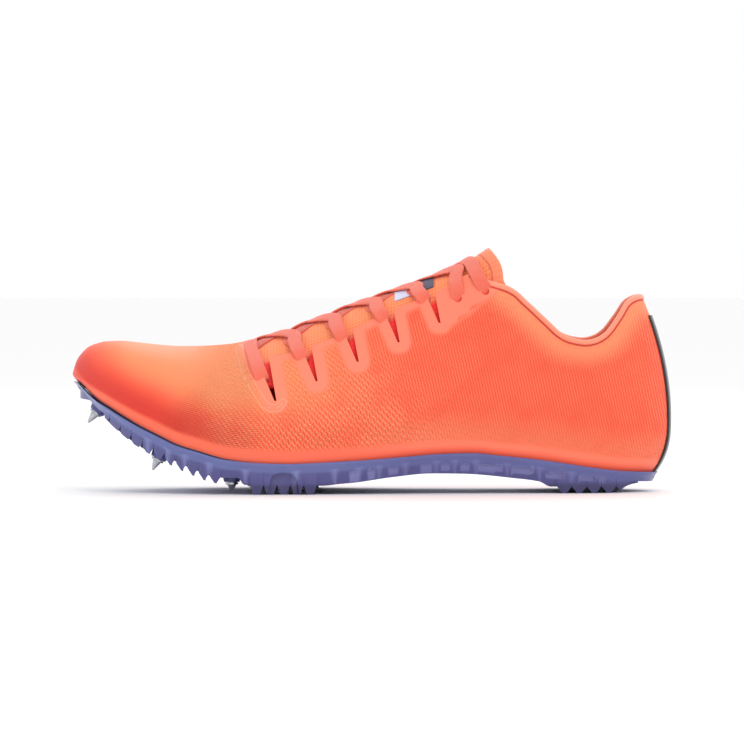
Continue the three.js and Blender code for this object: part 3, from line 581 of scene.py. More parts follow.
def calc(tree, how, *values):
    """A maths node with numbers or sockets put in."""
    node = tree.nodes.new("ShaderNodeMath")
    node.operation = how
    for socket, value in zip(node.inputs, values):
        if isinstance(value, (int, float)):
            socket.default_value = value
        else:
            tree.links.new(value, socket)
    return node.outputs[0]


def times(tree, value, *others):
    """The product of numbers or sockets."""
    for other in others:
        value = calc(tree, "MULTIPLY", value, other)
    return value


def field(tree, name):
    """The number that a piece keeps under a name at each point."""
    node = tree.nodes.new("ShaderNodeAttribute")
    node.attribute_name = name
    return node.outputs["Fac"]


def step_up(tree, value, low, high):
    """Smoothly 0 under low and 1 over high; the other way round when low is the larger."""
    node = tree.nodes.new("ShaderNodeMapRange")
    node.interpolation_type = "SMOOTHSTEP"
    tree.links.new(value, node.inputs["Value"])
    node.inputs["From Min"].default_value = min(low, high)
    node.inputs["From Max"].default_value = max(low, high)
    node.inputs["To Min"].default_value = 0.0 if low < high else 1.0
    node.inputs["To Max"].default_value = 1.0 if low < high else 0.0
    return node.outputs["Result"]


def paint(tree, share, under, over):
    """Mixes two colours, each a triple or a socket, by a share."""
    node = tree.nodes.new("ShaderNodeMix")
    node.data_type = "RGBA"
    if isinstance(share, float):
        node.inputs["Factor"].default_value = share
    else:
        tree.links.new(share, node.inputs["Factor"])
    for name, value in (("A", under), ("B", over)):
        socket = [s for s in node.inputs if s.name == name and s.type == "RGBA"][0]
        if isinstance(value, tuple):
            socket.default_value = value + (1,)
        else:
            tree.links.new(value, socket)
    return [s for s in node.outputs if s.type == "RGBA"][0]


def wash(tree, tone, colour, share, amount):
    """Lays a colour over a tone by an amount of a share."""
    return paint(tree, times(tree, share, amount), tone, colour)


def ripple(tree, value, pitch):
    """A cosine wave from 0 to 1 with a pitch in the units of its value."""
    turn = calc(tree, "MULTIPLY", value, 2 * math.pi / pitch)
    return calc(tree, "MULTIPLY_ADD", calc(tree, "COSINE", turn), 0.5, 0.5)


def speckle(tree, place, scale, detail=2.0):
    """Noise in the units of its place."""
    node = tree.nodes.new("ShaderNodeTexNoise")
    tree.links.new(place, node.inputs["Vector"])
    node.inputs["Scale"].default_value = scale
    node.inputs["Detail"].default_value = detail
    return node.outputs["Fac"]


def raise_bump(tree, shader, height, depth):
    """Puts a height of 0 to 1, with a depth in millimetres, on the shader's normal."""
    node = tree.nodes.new("ShaderNodeBump")
    node.inputs["Distance"].default_value = depth * MM
    tree.links.new(height, node.inputs["Height"])
    tree.links.new(node.outputs["Normal"], shader.inputs["Normal"])


def linear(red, green, blue):
    """A colour given in the eight-bit steps of a screen, as light."""
    steps = (red / 255, green / 255, blue / 255)
    return tuple(((c + 0.055) / 1.055) ** 2.4 if c > 0.04045 else c / 12.92 for c in steps)


def coloured(tree, shader, tone):
    """Puts a tone on the shader's base colour."""
    tree.links.new(tone, shader.inputs["Base Color"])


CORAL = linear(255, 98, 66)
# painted shade: the coral as it looks in shade, laid into the knit's hollows, low on the toe and at its tip
CORAL_SHADE = linear(222, 50, 34)
CORAL_YARN = linear(255, 172, 122)
FILM_COLOUR = linear(255, 132, 104)
# painted highlight: the pale peach sheen on the top of the toe
TOE_HIGHLIGHT = linear(255, 158, 100)
# painted highlight: the light band on the padding under the collar
COLLAR_HIGHLIGHT = linear(255, 168, 118)
FOOT_LIGHT = linear(255, 140, 104)
# painted shade: the deeper red of the upper's bottom band
SOLE_SHADE = linear(240, 66, 40)
WELT_LIGHT = linear(255, 176, 140)
SEAM_RED = linear(206, 44, 32)
BOND_GREY = linear(92, 88, 108)
KNIT_PITCH = 1.35
KNIT_STITCH = 0.95
KNIT_ZIGZAG = 0.45
KNIT_LEAN = 0.22
STITCH_LEAN = 0.8
BRICK_PITCH = 0.95
BRICK_WAVE = 0.35
ALONG_SHIFT = 200.0
RIDGE_PITCH = 2.6
RIDGE_LEAN = 0.85
DASH_PITCH = 2.3
WELT_PITCH = 1.7
WELT_EDGE = (2.4, 1.8)
SEAM_EDGE = (3.5, 2.9)
FOREFOOT_START = (-90.0, -66.0)
FOREFOOT_END = (62.0, 20.0)
BRICK_START = (-40.0, -62.0)
TOE_COAT = (-92.0, -112.0)
HEM_EDGE = (7.5, 5.0)

coral, tree, shader, place = new_material("coral_mesh", 0.55, sheen=0.06)
along, around, rise, film = (field(tree, name) for name in ("along", "around", "rise", "film"))
rim = field(tree, "rim")
zigzag = calc(tree, "PINGPONG", around, KNIT_STITCH)
leaning = calc(tree, "MULTIPLY_ADD", around, KNIT_LEAN, along)
columns = ripple(tree, calc(tree, "MULTIPLY_ADD", zigzag, KNIT_ZIGZAG, leaning), KNIT_PITCH)
stitches = ripple(tree, calc(tree, "MULTIPLY_ADD", along, STITCH_LEAN, around), KNIT_STITCH)
knit = calc(tree, "MULTIPLY_ADD", columns, 0.6, times(tree, stitches, 0.4))
row_shift = calc(tree, "PINGPONG", calc(tree, "ADD", along, ALONG_SHIFT), BRICK_PITCH)
bricks = ripple(tree, calc(tree, "MULTIPLY_ADD", row_shift, BRICK_WAVE, around), BRICK_PITCH)
slope = calc(tree, "MULTIPLY_ADD", around, RIDGE_LEAN, along)
ridges = calc(tree, "POWER", ripple(tree, slope, RIDGE_PITCH), 2.5)
patchy = step_up(tree, speckle(tree, place, 90.0), 0.3, 0.6)
forefoot = times(tree, step_up(tree, along, *FOREFOOT_START), step_up(tree, slope, *FOREFOOT_END))
forefoot = times(tree, forefoot, calc(tree, "MULTIPLY_ADD", patchy, 0.45, 0.55))
mesh_height = paint(tree, step_up(tree, along, *BRICK_START), knit, bricks)
dashes = ripple(tree, calc(tree, "SUBTRACT", along, around), DASH_PITCH)
raised = times(tree, ridges, forefoot, calc(tree, "MULTIPLY_ADD", dashes, 0.7, 0.3))
grain = speckle(tree, place, 900.0, 3.0)
toe_coat = step_up(tree, calc(tree, "MULTIPLY_ADD", rise, -0.5, along), *TOE_COAT)
hem = step_up(tree, rise, *HEM_EDGE)
smooth_film = step_up(tree, film, -FILM_SOFT, FILM_SOFT / 3)
covered = calc(tree, "MAXIMUM", calc(tree, "MAXIMUM", toe_coat, hem), smooth_film)
bare = calc(tree, "SUBTRACT", 1.0, covered)
texture = times(tree, calc(tree, "ADD", mesh_height, raised), bare)
# painted shade in the knit's hollows: the low points of its relief are coloured darker
depth = calc(tree, "MULTIPLY_ADD", step_up(tree, mesh_height, 0.0, 0.6), 0.6, 0.4)
tone = paint(tree, depth, CORAL_SHADE, CORAL)
yarn = calc(tree, "MULTIPLY_ADD", patchy, 0.4, 0.2)
tone = paint(tree, times(tree, step_up(tree, mesh_height, 0.6, 1.0), yarn), tone, CORAL_YARN)
tone = wash(tree, tone, CORAL_YARN, raised, 0.85)
tone = paint(tree, bare, CORAL, tone)
# painted highlight: the top of the forefoot and toe is washed paler where the light falls
high = times(tree, step_up(tree, around, 18.0, 38.0), step_up(tree, along, 20.0, -70.0))
high = times(tree, high, step_up(tree, along, -136.0, -112.0))
tone = wash(tree, tone, TOE_HIGHLIGHT, high, 0.62)
# painted highlight along the padded band under the collar at the heel
collar_highlight = times(tree, step_up(tree, rim, 16.0, 5.0), step_up(tree, along, 50.0, 62.0))
tone = wash(tree, tone, COLLAR_HIGHLIGHT, collar_highlight, 0.55)
foot = times(tree, step_up(tree, rise, 22.0, 9.0), step_up(tree, along, -20.0, 30.0))
tone = wash(tree, tone, FOOT_LIGHT, foot, 0.4)
tone = wash(tree, tone, FILM_COLOUR, smooth_film, 0.85)
tone = wash(tree, tone, FILM_COLOUR, hem, 0.35)
# painted shade: a deeper red band along the bottom few millimetres of the upper, from the midfoot back
sole_shade = times(tree, step_up(tree, rise, 4.5, 1.0), step_up(tree, along, -40.0, 20.0))
tone = wash(tree, tone, SOLE_SHADE, sole_shade, 0.55)
# painted shade: a deep red band low on the toe and forefoot, over the hollow above the hem
toe_shade_band = times(tree, step_up(tree, rise, 5.0, 8.0), step_up(tree, rise, 26.0, 10.0))
tone = wash(tree, tone, CORAL_SHADE, times(tree, step_up(tree, along, -40.0, -110.0), toe_shade_band), 0.95)
# painted shade: the tip of the toe darker
tone = wash(tree, tone, CORAL_SHADE, step_up(tree, along, -128.0, -141.0), 0.6)
welt = field(tree, "welt")
welt = times(tree, ripple(tree, welt, WELT_PITCH), step_up(tree, welt, *WELT_EDGE))
tone = wash(tree, tone, WELT_LIGHT, welt, 0.5)
tone = wash(tree, tone, SEAM_RED, step_up(tree, rim, *SEAM_EDGE), 0.9)
bond = times(tree, step_up(tree, rise, 0.6, 0.3), step_up(tree, along, -52.0, -75.0))
tone = paint(tree, bond, tone, BOND_GREY)
coloured(tree, shader, tone)
rough = calc(tree, "MULTIPLY_ADD", bare, 0.2, 0.46)
tree.links.new(rough, shader.inputs["Roughness"])
shader.inputs["Specular IOR Level"].default_value = 0.35
soft_edge = calc(tree, "MULTIPLY_ADD", smooth_film, 1.2, welt)
raise_bump(tree, shader, calc(tree, "ADD", calc(tree, "MULTIPLY_ADD", grain, 0.25, texture), soft_edge), 0.32)


def dress(piece, material, slot, *nodes, sharp=180):
    """Gives a finished piece its one material, smooth shading up to an edge angle, and its place."""
    piece.data.materials.clear()
    piece.data.materials.append(material)
    count = len(piece.data.polygons)
    piece.data.polygons.foreach_set("material_index", np.zeros(count, np.int32))
    piece.data.polygons.foreach_set("use_smooth", np.ones(count, bool))
    if sharp < 180:
        piece.data.set_sharp_from_angle(angle=math.radians(sharp))
    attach(piece, "root")
    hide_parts(*nodes)


dress(upper, coral, "upper_mesh", "upper", "eyestay_band_lateral", "eyestay_band_medial", sharp=40)

# Collar binding
# A soft padded rim of knit, rolled over the collar edge all round the foot opening and sewn down under it.
BINDING_ROLL = 0.8
BINDING_ROUND = 2.6
COLLAR_FIRST = 0.683


def collar_height(x, drop):
    """Height of the collar edge, moved square to itself by drop, at places along the shoe."""
    moved, run = collar_line(200, drop)
    past = COLLAR_OVERRUN * LENGTH
    moved = np.vstack([moved[0] - run[0] * past, moved])
    return np.interp(x, moved[:, 0], moved[:, 1])


def collar_point(share, drop, grow, side):
    """Points of the last's surface, grown by grow, where the moved collar edge crosses each section."""
    section = section_at(share, grow)
    z = np.full_like(share, HEEL_HEIGHT)
    for _ in range(12):
        z = (z + collar_height(section["x"] + lean_at(section, z), drop)) / 2
    half = np.where(side < 0, section["lateral"], section["medial"])
    y = section["ridge"] + side * half * width_share(section, z)
    return np.stack([section["x"] + lean_at(section, z), y, z], axis=-1)


def round_profile(count, low, high, inner, outer, power):
    """A superellipse in depth and thickness between two depths and two thicknesses."""
    turn = np.linspace(0, 2 * np.pi, count, endpoint=False)
    c, s = np.cos(turn), np.sin(turn)
    depth = (low + high) / 2 + (high - low) / 2 * np.sign(c) * np.abs(c) ** (2 / power)
    thick = (inner + outer) / 2 + (outer - inner) / 2 * np.sign(s) * np.abs(s) ** (2 / power)
    return depth, thick


def collar_roll(name, low, high, inner, outer, power, count, profile):
    """Rings of a rolled rim from the lateral throat corner round the heel to the medial one."""
    share = 1 - (1 - COLLAR_FIRST) * (1 - np.sin(np.linspace(0, np.pi / 2, count)))
    depth, thick = round_profile(profile, low, high, inner, outer, power)
    sides = []
    for side in (-1, 1):
        rows = [collar_point(share, d, t, side) for d, t in zip(depth, thick)]
        sides.append(np.stack(rows, axis=1))
    return ring_skin(name, np.concatenate([sides[0], sides[1][-2::-1]]))


inner = -WALL - BINDING_ROLL
binding = collar_roll("collar_rim", 0.0, BINDING_HEIGHT - GAP, inner, BINDING_ROLL, BINDING_ROUND, 120, 24)
peach, tree, shader, place = new_material("peach_knit", 0.7, sheen=0.4)
fuzz = speckle(tree, place, 1400.0, 2.0)
tone = paint(tree, fuzz, linear(255, 128, 96), linear(255, 160, 128))
coloured(tree, shader, tone)
raise_bump(tree, shader, fuzz, 0.2)
dress(binding, peach, "binding", "collar_binding")

# Heel strip
# A narrow dark strip of glossy film bonded down the middle of the heel, from the collar to the plate.
STRIP_WIDTH = 14.0
STRIP_DROP = 10.0
STRIP_PROFILE = 28


def strip_point(across, z, grow):
    """Points of the heel's back, grown by grow, at a distance from its middle and a height."""
    last = section_at(np.ones_like(z))
    wide = read_rows(LAST, 1.0)[4] * BALL_WIDTH * width_share(last, z)
    out = np.clip(np.abs(across) / wide, 0, 1)
    share = 1 - (1 - np.sqrt(1 - out ** 2)) * HEEL_ROUND / BODY_LENGTH
    section = section_at(share, grow)
    x = section["x"] + lean_at(section, z)
    return np.stack([x, section["ridge"] + across, z], axis=-1)


half = STRIP_WIDTH / 2
across, thick = round_profile(STRIP_PROFILE, -half, half, GAP, GAP + STRIP_THICKNESS, 5.0)
low = LAST[-1, 1] * INSTEP_HEIGHT + GAP
high = float(collar_height(np.array(x_at(0.95)), STRIP_DROP))
rings = [strip_point(across, np.full(STRIP_PROFILE, z), thick) for z in np.linspace(low, high, 70)]
strip = ring_skin("heel_film", np.array(rings))
black, tree, shader, place = new_material("black_film", 0.32, coat=0.3)
shader.inputs["Base Color"].default_value = linear(34, 30, 42) + (1,)
raise_bump(tree, shader, speckle(tree, place, 700.0), 0.12)
dress(strip, black, "strip", "heel_strip", sharp=50)

# Tongue
# One padded sheet under the throat, thin mesh over a thin foam, with its top edge folded over.
TONGUE_THICKNESS = 2.4
TONGUE_OVERLAP = 13.0
TONGUE_GROW = -(WALL + BINDING_ROLL + GAP)
TONGUE_TIP = (0.6975, 0.99)
TONGUE_REACH = 0.04
TONGUE_SLANT = 0.415
TONGUE_CURL = 0.028
TONGUE_ROUND = 1.8
TONGUE_ROUND_HEIGHT = 14.0
TONGUE_PUFF = 1.5
TONGUE_FLAT = 0.7
TONGUE_EDGE = 0.985


def tongue_end(y):
    """Place along the shoe where the tongue's leaning top edge crosses its surface."""
    tip_x = float(x_at(TONGUE_TIP[0]))
    tip_z = TONGUE_TIP[1] * INSTEP_HEIGHT
    x = np.full_like(y, tip_x)
    for _ in range(20):
        z = top_height(x, y, TONGUE_GROW - TONGUE_THICKNESS / 2)
        low = tip_x + (tip_z - z) * TONGUE_SLANT
        low = low + TONGUE_ROUND * np.sin(np.pi * np.clip((tip_z - z) / TONGUE_ROUND_HEIGHT, 0, 1))
        high = tip_x - (z - tip_z) / (FAR - tip_z) * TONGUE_CURL * LENGTH
        x = (x + np.where(z < tip_z, low, high)) / 2
    return x


def tongue_sheet(name, inner, outer, rows, columns):
    """Rings across the tongue from front to top edge: outside from lateral to medial, then inside back."""
    u = np.linspace(-1, 1, columns)
    edge = np.maximum(1 - np.abs(u) ** 8, 0) ** 0.5
    v = np.linspace(0, 1, rows)
    front = float(x_at(THROAT[0, 0] - TONGUE_REACH))
    middle, half = (inner + outer) / 2, (outer - inner) / 2
    rings = []
    for step in v:
        at = np.interp(step, (0, 1), (THROAT[0, 0] - TONGUE_REACH, TONGUE_TIP[0]))
        wide = float(throat_half(max(at, THROAT[3, 0]))) + TONGUE_OVERLAP
        y = float(section_at(at)["ridge"]) + u * wide
        x = front + (tongue_end(y) - front) * step
        end = math.sqrt(max(1 - max((step - TONGUE_EDGE) / (1 - TONGUE_EDGE), 0) ** 2, 0.0004))
        fade = 1 - smooth((step - TONGUE_FLAT) / (1 - TONGUE_FLAT))
        arch = np.clip(1 - (u * wide / (wide - TONGUE_OVERLAP)) ** 2, 0, 1)
        surface = top_height(x, y, middle) + TONGUE_PUFF * fade * arch
        top = np.stack([x, y, surface + half * edge * end], axis=-1)
        low = np.stack([x, y, surface - half * edge * end], axis=-1)
        rings.append(np.vstack([top, low[-2:0:-1]]))
    return ring_skin(name, np.array(rings))


tongue = tongue_sheet("tongue_sheet", TONGUE_GROW - TONGUE_THICKNESS, TONGUE_GROW, 160, 61)
FOLD = 5.5
MESH_PITCH = 1.5
SEAM_OUT, SEAM_IN = 0.7, 0.2
# painted shade: the deep red of the tongue where it lies under the upper and shows in the slots
TUCKED_SHADE = linear(255, 40, 36)
points = own_points(tongue)
x, y, z = points.T
set_field(tongue, "along", x)
set_field(tongue, "across", y)
set_field(tongue, "fold", tongue_end(y) - x)
from_ridge = np.abs(y - section_at(plan_share(x))["ridge"])
set_field(tongue, "under", from_ridge - throat_half(plan_share(x)))
orange, tree, shader, place = new_material("orange_mesh", 0.7, sheen=0.3)
along, across, fold = (field(tree, name) for name in ("along", "across", "fold"))
holes = times(tree, ripple(tree, along, MESH_PITCH), ripple(tree, across, MESH_PITCH))
tone = paint(tree, holes, linear(255, 148, 92), linear(250, 112, 66))
band = step_up(tree, fold, FOLD, FOLD - 0.4)
tone = wash(tree, tone, linear(255, 128, 96), band, 0.6)
behind = step_up(tree, fold, FOLD + SEAM_OUT, FOLD + SEAM_IN)
stitch = times(tree, behind, step_up(tree, fold, FOLD - SEAM_OUT, FOLD - SEAM_IN))
tone = wash(tree, tone, linear(226, 84, 56), stitch, 0.55)
# painted shade on the tongue's sides under the upper, seen through the lace slots
under = step_up(tree, field(tree, "under"), -1.0, 1.5)
tone = paint(tree, times(tree, under, step_up(tree, along, 44.0, 40.0)), tone, TUCKED_SHADE)
coloured(tree, shader, tone)
height = calc(tree, "SUBTRACT", times(tree, holes, -0.5), stitch)
raise_bump(tree, shader, height, 0.4)
dress(tongue, orange, "tongue", "tongue")

# Tongue label
# A thin woven patch sewn to the tongue under the laces, plain, pale at its front and dark at its back.
LABEL = (0.538, 0.603, 0.1)
LABEL_THICKNESS = 0.6
LABEL_DARK = 0.5

v, u = np.meshgrid(np.linspace(0, 1, 24), np.linspace(-1, 1, 20), indexing="ij")
x = x_at(LABEL[0] + (LABEL[1] - LABEL[0]) * v)
y = float(section_at(LABEL[0])["ridge"]) + u * LABEL[2] * BALL_WIDTH
across = (y - section_at(plan_share(x))["ridge"]) / (THROAT[7, 1] * BALL_WIDTH)
lift = TONGUE_PUFF * (1 - across ** 2)
low = np.stack([x, y, top_height(x, y, TONGUE_GROW + GAP / 2) + lift], axis=-1)
high = np.stack([x, y, top_height(x, y, TONGUE_GROW + LABEL_THICKNESS) + lift], axis=-1)
label = ring_skin("label_patch", np.concatenate([high, low[:, ::-1]], axis=1))
set_field(label, "back", (own_points(label)[:, 0] - x_at(LABEL[0])) / (x_at(LABEL[1]) - x_at(LABEL[0])))
patch, tree, shader, place = new_material("woven_patch", 0.5)
dark = step_up(tree, field(tree, "back"), LABEL_DARK - 0.01, LABEL_DARK + 0.01)
tone = paint(tree, dark, linear(214, 214, 240), linear(84, 80, 104))
coloured(tree, shader, tone)
raise_bump(tree, shader, speckle(tree, place, 1800.0), 0.15)
dress(label, patch, "label", "tongue_label", sharp=40)

# Lace
# One flat woven lace, 6.5 mm wide, crossed over the tongue and drawn through the slots and top eyelets.
LACE_WIDTH = 6.5
LACE_THICKNESS = 1.1
LACE_ENTRY = (-6.8, 10.5)
LACE_LEAN = 5.5
LACE_SINK = -5.0
EYELET_LEANS = (1.0, 7.5)
LACE_UNDER, LACE_OVER, LACE_CROSS = -1.0, 0.4, 0.3
WEAVE_PITCH = 0.9


def wall_y(x, z, side, grow=0.0):
    """Distance across the shoe of the last's wall at a place in side view."""
    section = section_at(share_of(x, z, grow), grow)
    half = section["lateral"] if side < 0 else section["medial"]
    return section["ridge"] + side * half * width_share(section, z)


def lace_entry(i):
    """Place in side view where the lace meets a slot or an eyelet, and how far it leans on its way up."""
    if i < SLOT_COUNT:
        x, z = slot_tip(i)
        return x + LACE_ENTRY[0], z + LACE_ENTRY[1], LACE_LEAN
    at, height = EYELETS[i - SLOT_COUNT]
    return float(x_at(at)), height * INSTEP_HEIGHT, EYELET_LEANS[i - SLOT_COUNT]


def lace_side(i, side, lift):
    """The way up from a slot on one side to near the ridge: places in plan, and heights over the last."""
    x, z, lean = lace_entry(i)
    y = float(wall_y(np.array(x), np.array(z), side))
    ridge = float(section_at(plan_share(x))["ridge"])
    out = y - ridge
    return [
        (x + 2.2, ridge + out * 1.03, LACE_SINK),
        (x + 0.5, ridge + out, -0.6),
        (x - lean * 0.3, ridge + out * 0.86, 0.9 + lift),
        (x - lean * 0.7, ridge + out * 0.6, 0.2 + lift),
        (x - lean, ridge + out * 0.32, -0.4 + lift),
    ]


def lace_strand(name, places):
    """A flat strand on the last's top through places (x, y, height over it), its width along the surface."""
    way = smooth_line(places, 90)
    x, y, grow = way.T
    flat = top_height(x, y, 0.0)
    nudge = 0.4
    slope_x = (top_height(x + nudge, y) - top_height(x - nudge, y)) / (2 * nudge)
    slope_y = (top_height(x, y + nudge) - top_height(x, y - nudge)) / (2 * nudge)
    up = unit(np.stack([-slope_x, -slope_y, np.ones_like(x)], axis=-1))
    line = np.stack([x, y, flat], axis=-1) + up * grow[:, None]
    for _ in range(6):
        line[1:-1] = (line[:-2] + 2 * line[1:-1] + line[2:]) / 4
    run = unit(np.gradient(line, axis=0))
    across = unit(np.cross(run, up))
    over = np.cross(across, run)
    turn = np.linspace(0, 2 * np.pi, 20, endpoint=False)
    c, s = np.cos(turn), np.sin(turn)
    wide = LACE_WIDTH / 2 * np.sign(c) * np.abs(c) ** 0.35
    thick = LACE_THICKNESS / 2 * np.sign(s) * np.abs(s) ** 0.6
    rings = line[:, None] + across[:, None] * wide[None, :, None] + over[:, None] * thick[None, :, None]
    rows = len(line)
    length = np.concatenate([[0], np.cumsum(np.linalg.norm(np.diff(line, axis=0), axis=1))])
    fields = {
        "along": np.repeat(length, len(turn)),
        "across": np.tile(wide, rows),
        "sunk": np.repeat(grow, len(turn)),
    }
    return ring_skin(name, rings, fields)


SALMON = linear(255, 132, 104)
salmon, tree, shader, place = new_material("salmon_lace", 0.75, sheen=0.4)
along, across = field(tree, "along"), field(tree, "across")
one_way = ripple(tree, calc(tree, "ADD", along, across), WEAVE_PITCH)
weave = times(tree, one_way, ripple(tree, calc(tree, "SUBTRACT", along, across), WEAVE_PITCH))
tone = paint(tree, weave, linear(250, 104, 78), SALMON)
# painted shade: the lace darkens to deep red where it dives into the slots
deep = step_up(tree, field(tree, "sunk"), -0.6, -2.6)
tone = paint(tree, deep, tone, linear(190, 30, 20))
coloured(tree, shader, tone)
raise_bump(tree, shader, weave, 0.25)

strands = [lace_strand("lace_front", lace_side(0, -1, LACE_OVER) + lace_side(0, 1, LACE_OVER)[::-1])]
for i in range(SLOT_COUNT + len(EYELETS) - 1):
    for side, lift in ((-1, LACE_UNDER), (1, LACE_OVER)):
        way = lace_side(i, side, lift) + lace_side(i + 1, -side, lift + LACE_CROSS)[::-1]
        strands.append(lace_strand("lace_" + str(i + 1) + ("a" if side < 0 else "b"), way))
for strand in strands:
    dress(strand, salmon, "lace", "lace")

# Spike plate
# One moulded plate of hard plastic under the whole shoe, with a thin lip up the upper's feather edge,
# teeth under the forefoot and heel, and ribs along its side.
LIP_THICKNESS = 1.6
PLATE_FLOOR = 1.5
PLATE_DRAFT = 1.6
TREAD_RIM = 9.0
HOLLOW_END = 0.43
PLATE_GROW = GAP + LIP_THICKNESS
TREAD = np.array([
    (0.0, 0.3707, 0.0069), (0.02, 0.3612, 0.0103), (0.034, 0.3319, 0.0207), (0.054, 0.2845, 0.0259),
    (0.084, 0.2293, 0.0259), (0.113, 0.1845, 0.0259), (0.161, 0.1293, 0.0259), (0.2125, 0.0741, 0.0259),
    (0.25, 0.0457, 0.0259), (0.258, 0.0595, 0.0086), (0.284, 0.0595, 0.0086), (0.294, 0.0, 0.0397),
    (0.35, 0.0, 0.0397), (0.412, 0.0, 0.0362), (0.435, 0.0259, 0.0121), (0.486, 0.0431, 0.0078),
    (0.537, 0.0612, 0.0078), (0.6, 0.075, 0.0078), (0.65, 0.0733, 0.0078), (0.731, 0.056, 0.0078),
    (0.783, 0.0362, 0.0121), (0.805, 0.0, 0.0276), (0.86, 0.0, 0.0276), (0.93, 0.0, 0.0276),
    (0.955, 0.0293, 0.0103), (1.0, 0.0466, 0.0052),
])
TEETH = ((0.047, 0.252, 11, 0.22), (0.3, 0.41, 5, 0.48), (0.806, 0.93, 5, 0.26))


def tread_at(share):
    """Heights of the tooth tips and of the underside between the teeth."""
    row = read_rows(TREAD, share) * INSTEP_HEIGHT
    return row[..., 1], row[..., 1] + row[..., 2]


def tip_at(section):
    """Height of the tooth tips, always under the plate's floor."""
    return np.minimum(tread_at(section["share"])[0], section["base"] - PLATE_FLOOR - GAP)


def root_at(section):
    """Height of the plate's underside between the teeth."""
    return np.minimum(tread_at(section["share"])[1], section["base"] - PLATE_FLOOR)


def feather_at(section):
    """Height of the plate's top edge."""
    return section["feather"]


def under_at(section):
    """A height clear under every tooth."""
    return tip_at(section) - 5


LIP_BULGE = 0.45
LIP_BAND = 4.2


def slab(name, grow, draft, bottom_of, top_of, count=420, levels=12, lip=0.0):
    """A slab that fills the last's plan outline, grown by grow, between two heights of each section, with
    sides that draw in by draft over their lower half and bulge by lip along the top band."""
    section = {key: value[:, None] for key, value in section_at(stations(count), grow).items()}
    bottom, top = bottom_of(section), top_of(section)
    up = np.linspace(0, 1, levels)
    z = bottom + (top - bottom) * up
    share = width_share(section, z)
    x = section["x"] + lean_at(section, z)
    roll = np.sqrt(np.clip(1 - (2 * (top - z) / LIP_BAND - 1) ** 2, 0, 1)) * lip
    out = np.stack([section["lateral"], section["medial"]]) * share
    narrow = np.maximum(out - draft * np.clip(1 - 2 * up, 0, 1), out * 0.6) + roll
    walls = [
        np.stack([x, section["ridge"] + side * half, z], axis=-1)
        for side, half in zip((-1, 1), narrow)
    ]
    foot = np.stack([x[:, :1], section["ridge"], bottom], axis=-1)
    crown = np.stack([x[:, -1:], section["ridge"], top], axis=-1)
    return ring_skin(name, np.concatenate([foot, walls[0], crown, walls[1][:, ::-1]], axis=1))


STAGGER = (0.0, 0.5, 0.25)
TOOTH_CROWN = 6.0


def tooth_blocks():
    """The teeth in side view, each a trapezium that narrows to its tip, in three staggered lanes."""
    lanes = np.linspace(-BALL_WIDTH / 2, BALL_WIDTH / 2, len(STAGGER) + 1)
    lanes[0], lanes[-1] = -BALL_WIDTH, BALL_WIDTH
    blocks = []
    for first, last, count, flat in TEETH:
        pitch = (last - first) / count * LENGTH
        for i in range(count):
            for lane, shift in enumerate(STAGGER):
                x = float(x_at(first)) + (i + 0.5 + shift) * pitch
                tip, root = tread_at(np.array(plan_share(x)))
                levels = np.array([tip - PLATE_FLOOR, tip, root, root + TOOTH_CROWN])
                up = np.clip((levels - tip) / (root - tip), 0, 1)
                half = pitch / 2 * (flat + (0.98 - flat) * up)
                right = np.column_stack([x + half, levels])
                left = np.column_stack([x - half, levels])[::-1]
                blocks.append(block("tooth", np.vstack([right, left]), lanes[lane], lanes[lane + 1], "side"))
    return blocks


SCALLOP = (0.328, 0.382, 0.091, 0.074)
SCALLOP_DEPTH = 2.6
WINDOW_DEPTH = 0.7
WINDOW_TAPER = 0.8
WINDOWS = (
    (354, 473, 8, 9), (371.5, 471, 8, 9), (393, 468, 10, 7), (425, 466, 10, 7), (445, 465, 8, 7),
    (463.5, 465, 8, 7), (489, 466, 24, 7), (521, 468, 21, 7), (554, 473, 18, 5), (586, 476, 16, 5),
)
RIBS = (150, 170, 187, 211, 247, 297, 335, 359, 379, 405, 435.5, 454, 475, 506, 538, 570, 600)


def seen(px, py):
    """Place in side view, in millimetres, of a place measured in the photo."""
    return (px - MIDDLE_PIXEL) * PIXEL / MM, (FLOOR_PIXEL - py) * PIXEL / MM


def window_outline(px, py, wide, high):
    """A side window, a little narrower at its top, from its middle and size in pixels of the photo."""
    x, z = seen(px, py)
    half, rise = wide * PIXEL / MM / 2, high * PIXEL / MM / 2
    top = half * WINDOW_TAPER
    return [(x - half, z - rise), (x + half, z - rise), (x + top, z + rise), (x - top, z + rise)]


def scallop_outline():
    """The scallop in the plate's side: straight feet under a rounded arch."""
    first, last = float(x_at(SCALLOP[0])), float(x_at(SCALLOP[1]))
    top, shoulder = SCALLOP[2] * INSTEP_HEIGHT, SCALLOP[3] * INSTEP_HEIGHT
    turn = np.linspace(0, np.pi, 14)
    arch = np.column_stack([
        (first + last) / 2 + (last - first) / 2.3 * np.cos(turn),
        shoulder * 0.5 + (top - shoulder * 0.5) * np.sin(turn) ** 0.8,
    ])
    return np.vstack([[(first, -PLATE_FLOOR), (last, -PLATE_FLOOR)], arch])


plate = slab("plate_body", PLATE_GROW, PLATE_DRAFT, root_at, feather_at, lip=LIP_BULGE)
teeth = tooth_blocks()
relief = combine(teeth[0], *teeth[1:], how="UNION")
combine(relief, slab("deep", PLATE_GROW, PLATE_DRAFT, tip_at, feather_at), how="INTERSECT")
hollow = slab("hollow", PLATE_GROW - TREAD_RIM, PLATE_DRAFT, under_at, feather_at)
back = block("back", [(float(x_at(HOLLOW_END)), -FAR), (FAR, -FAR), (FAR, FAR),
                      (float(x_at(HOLLOW_END)), FAR)], -FAR, FAR, "side")
combine(hollow, back)
combine(relief, hollow)
combine(plate, relief, how="UNION")

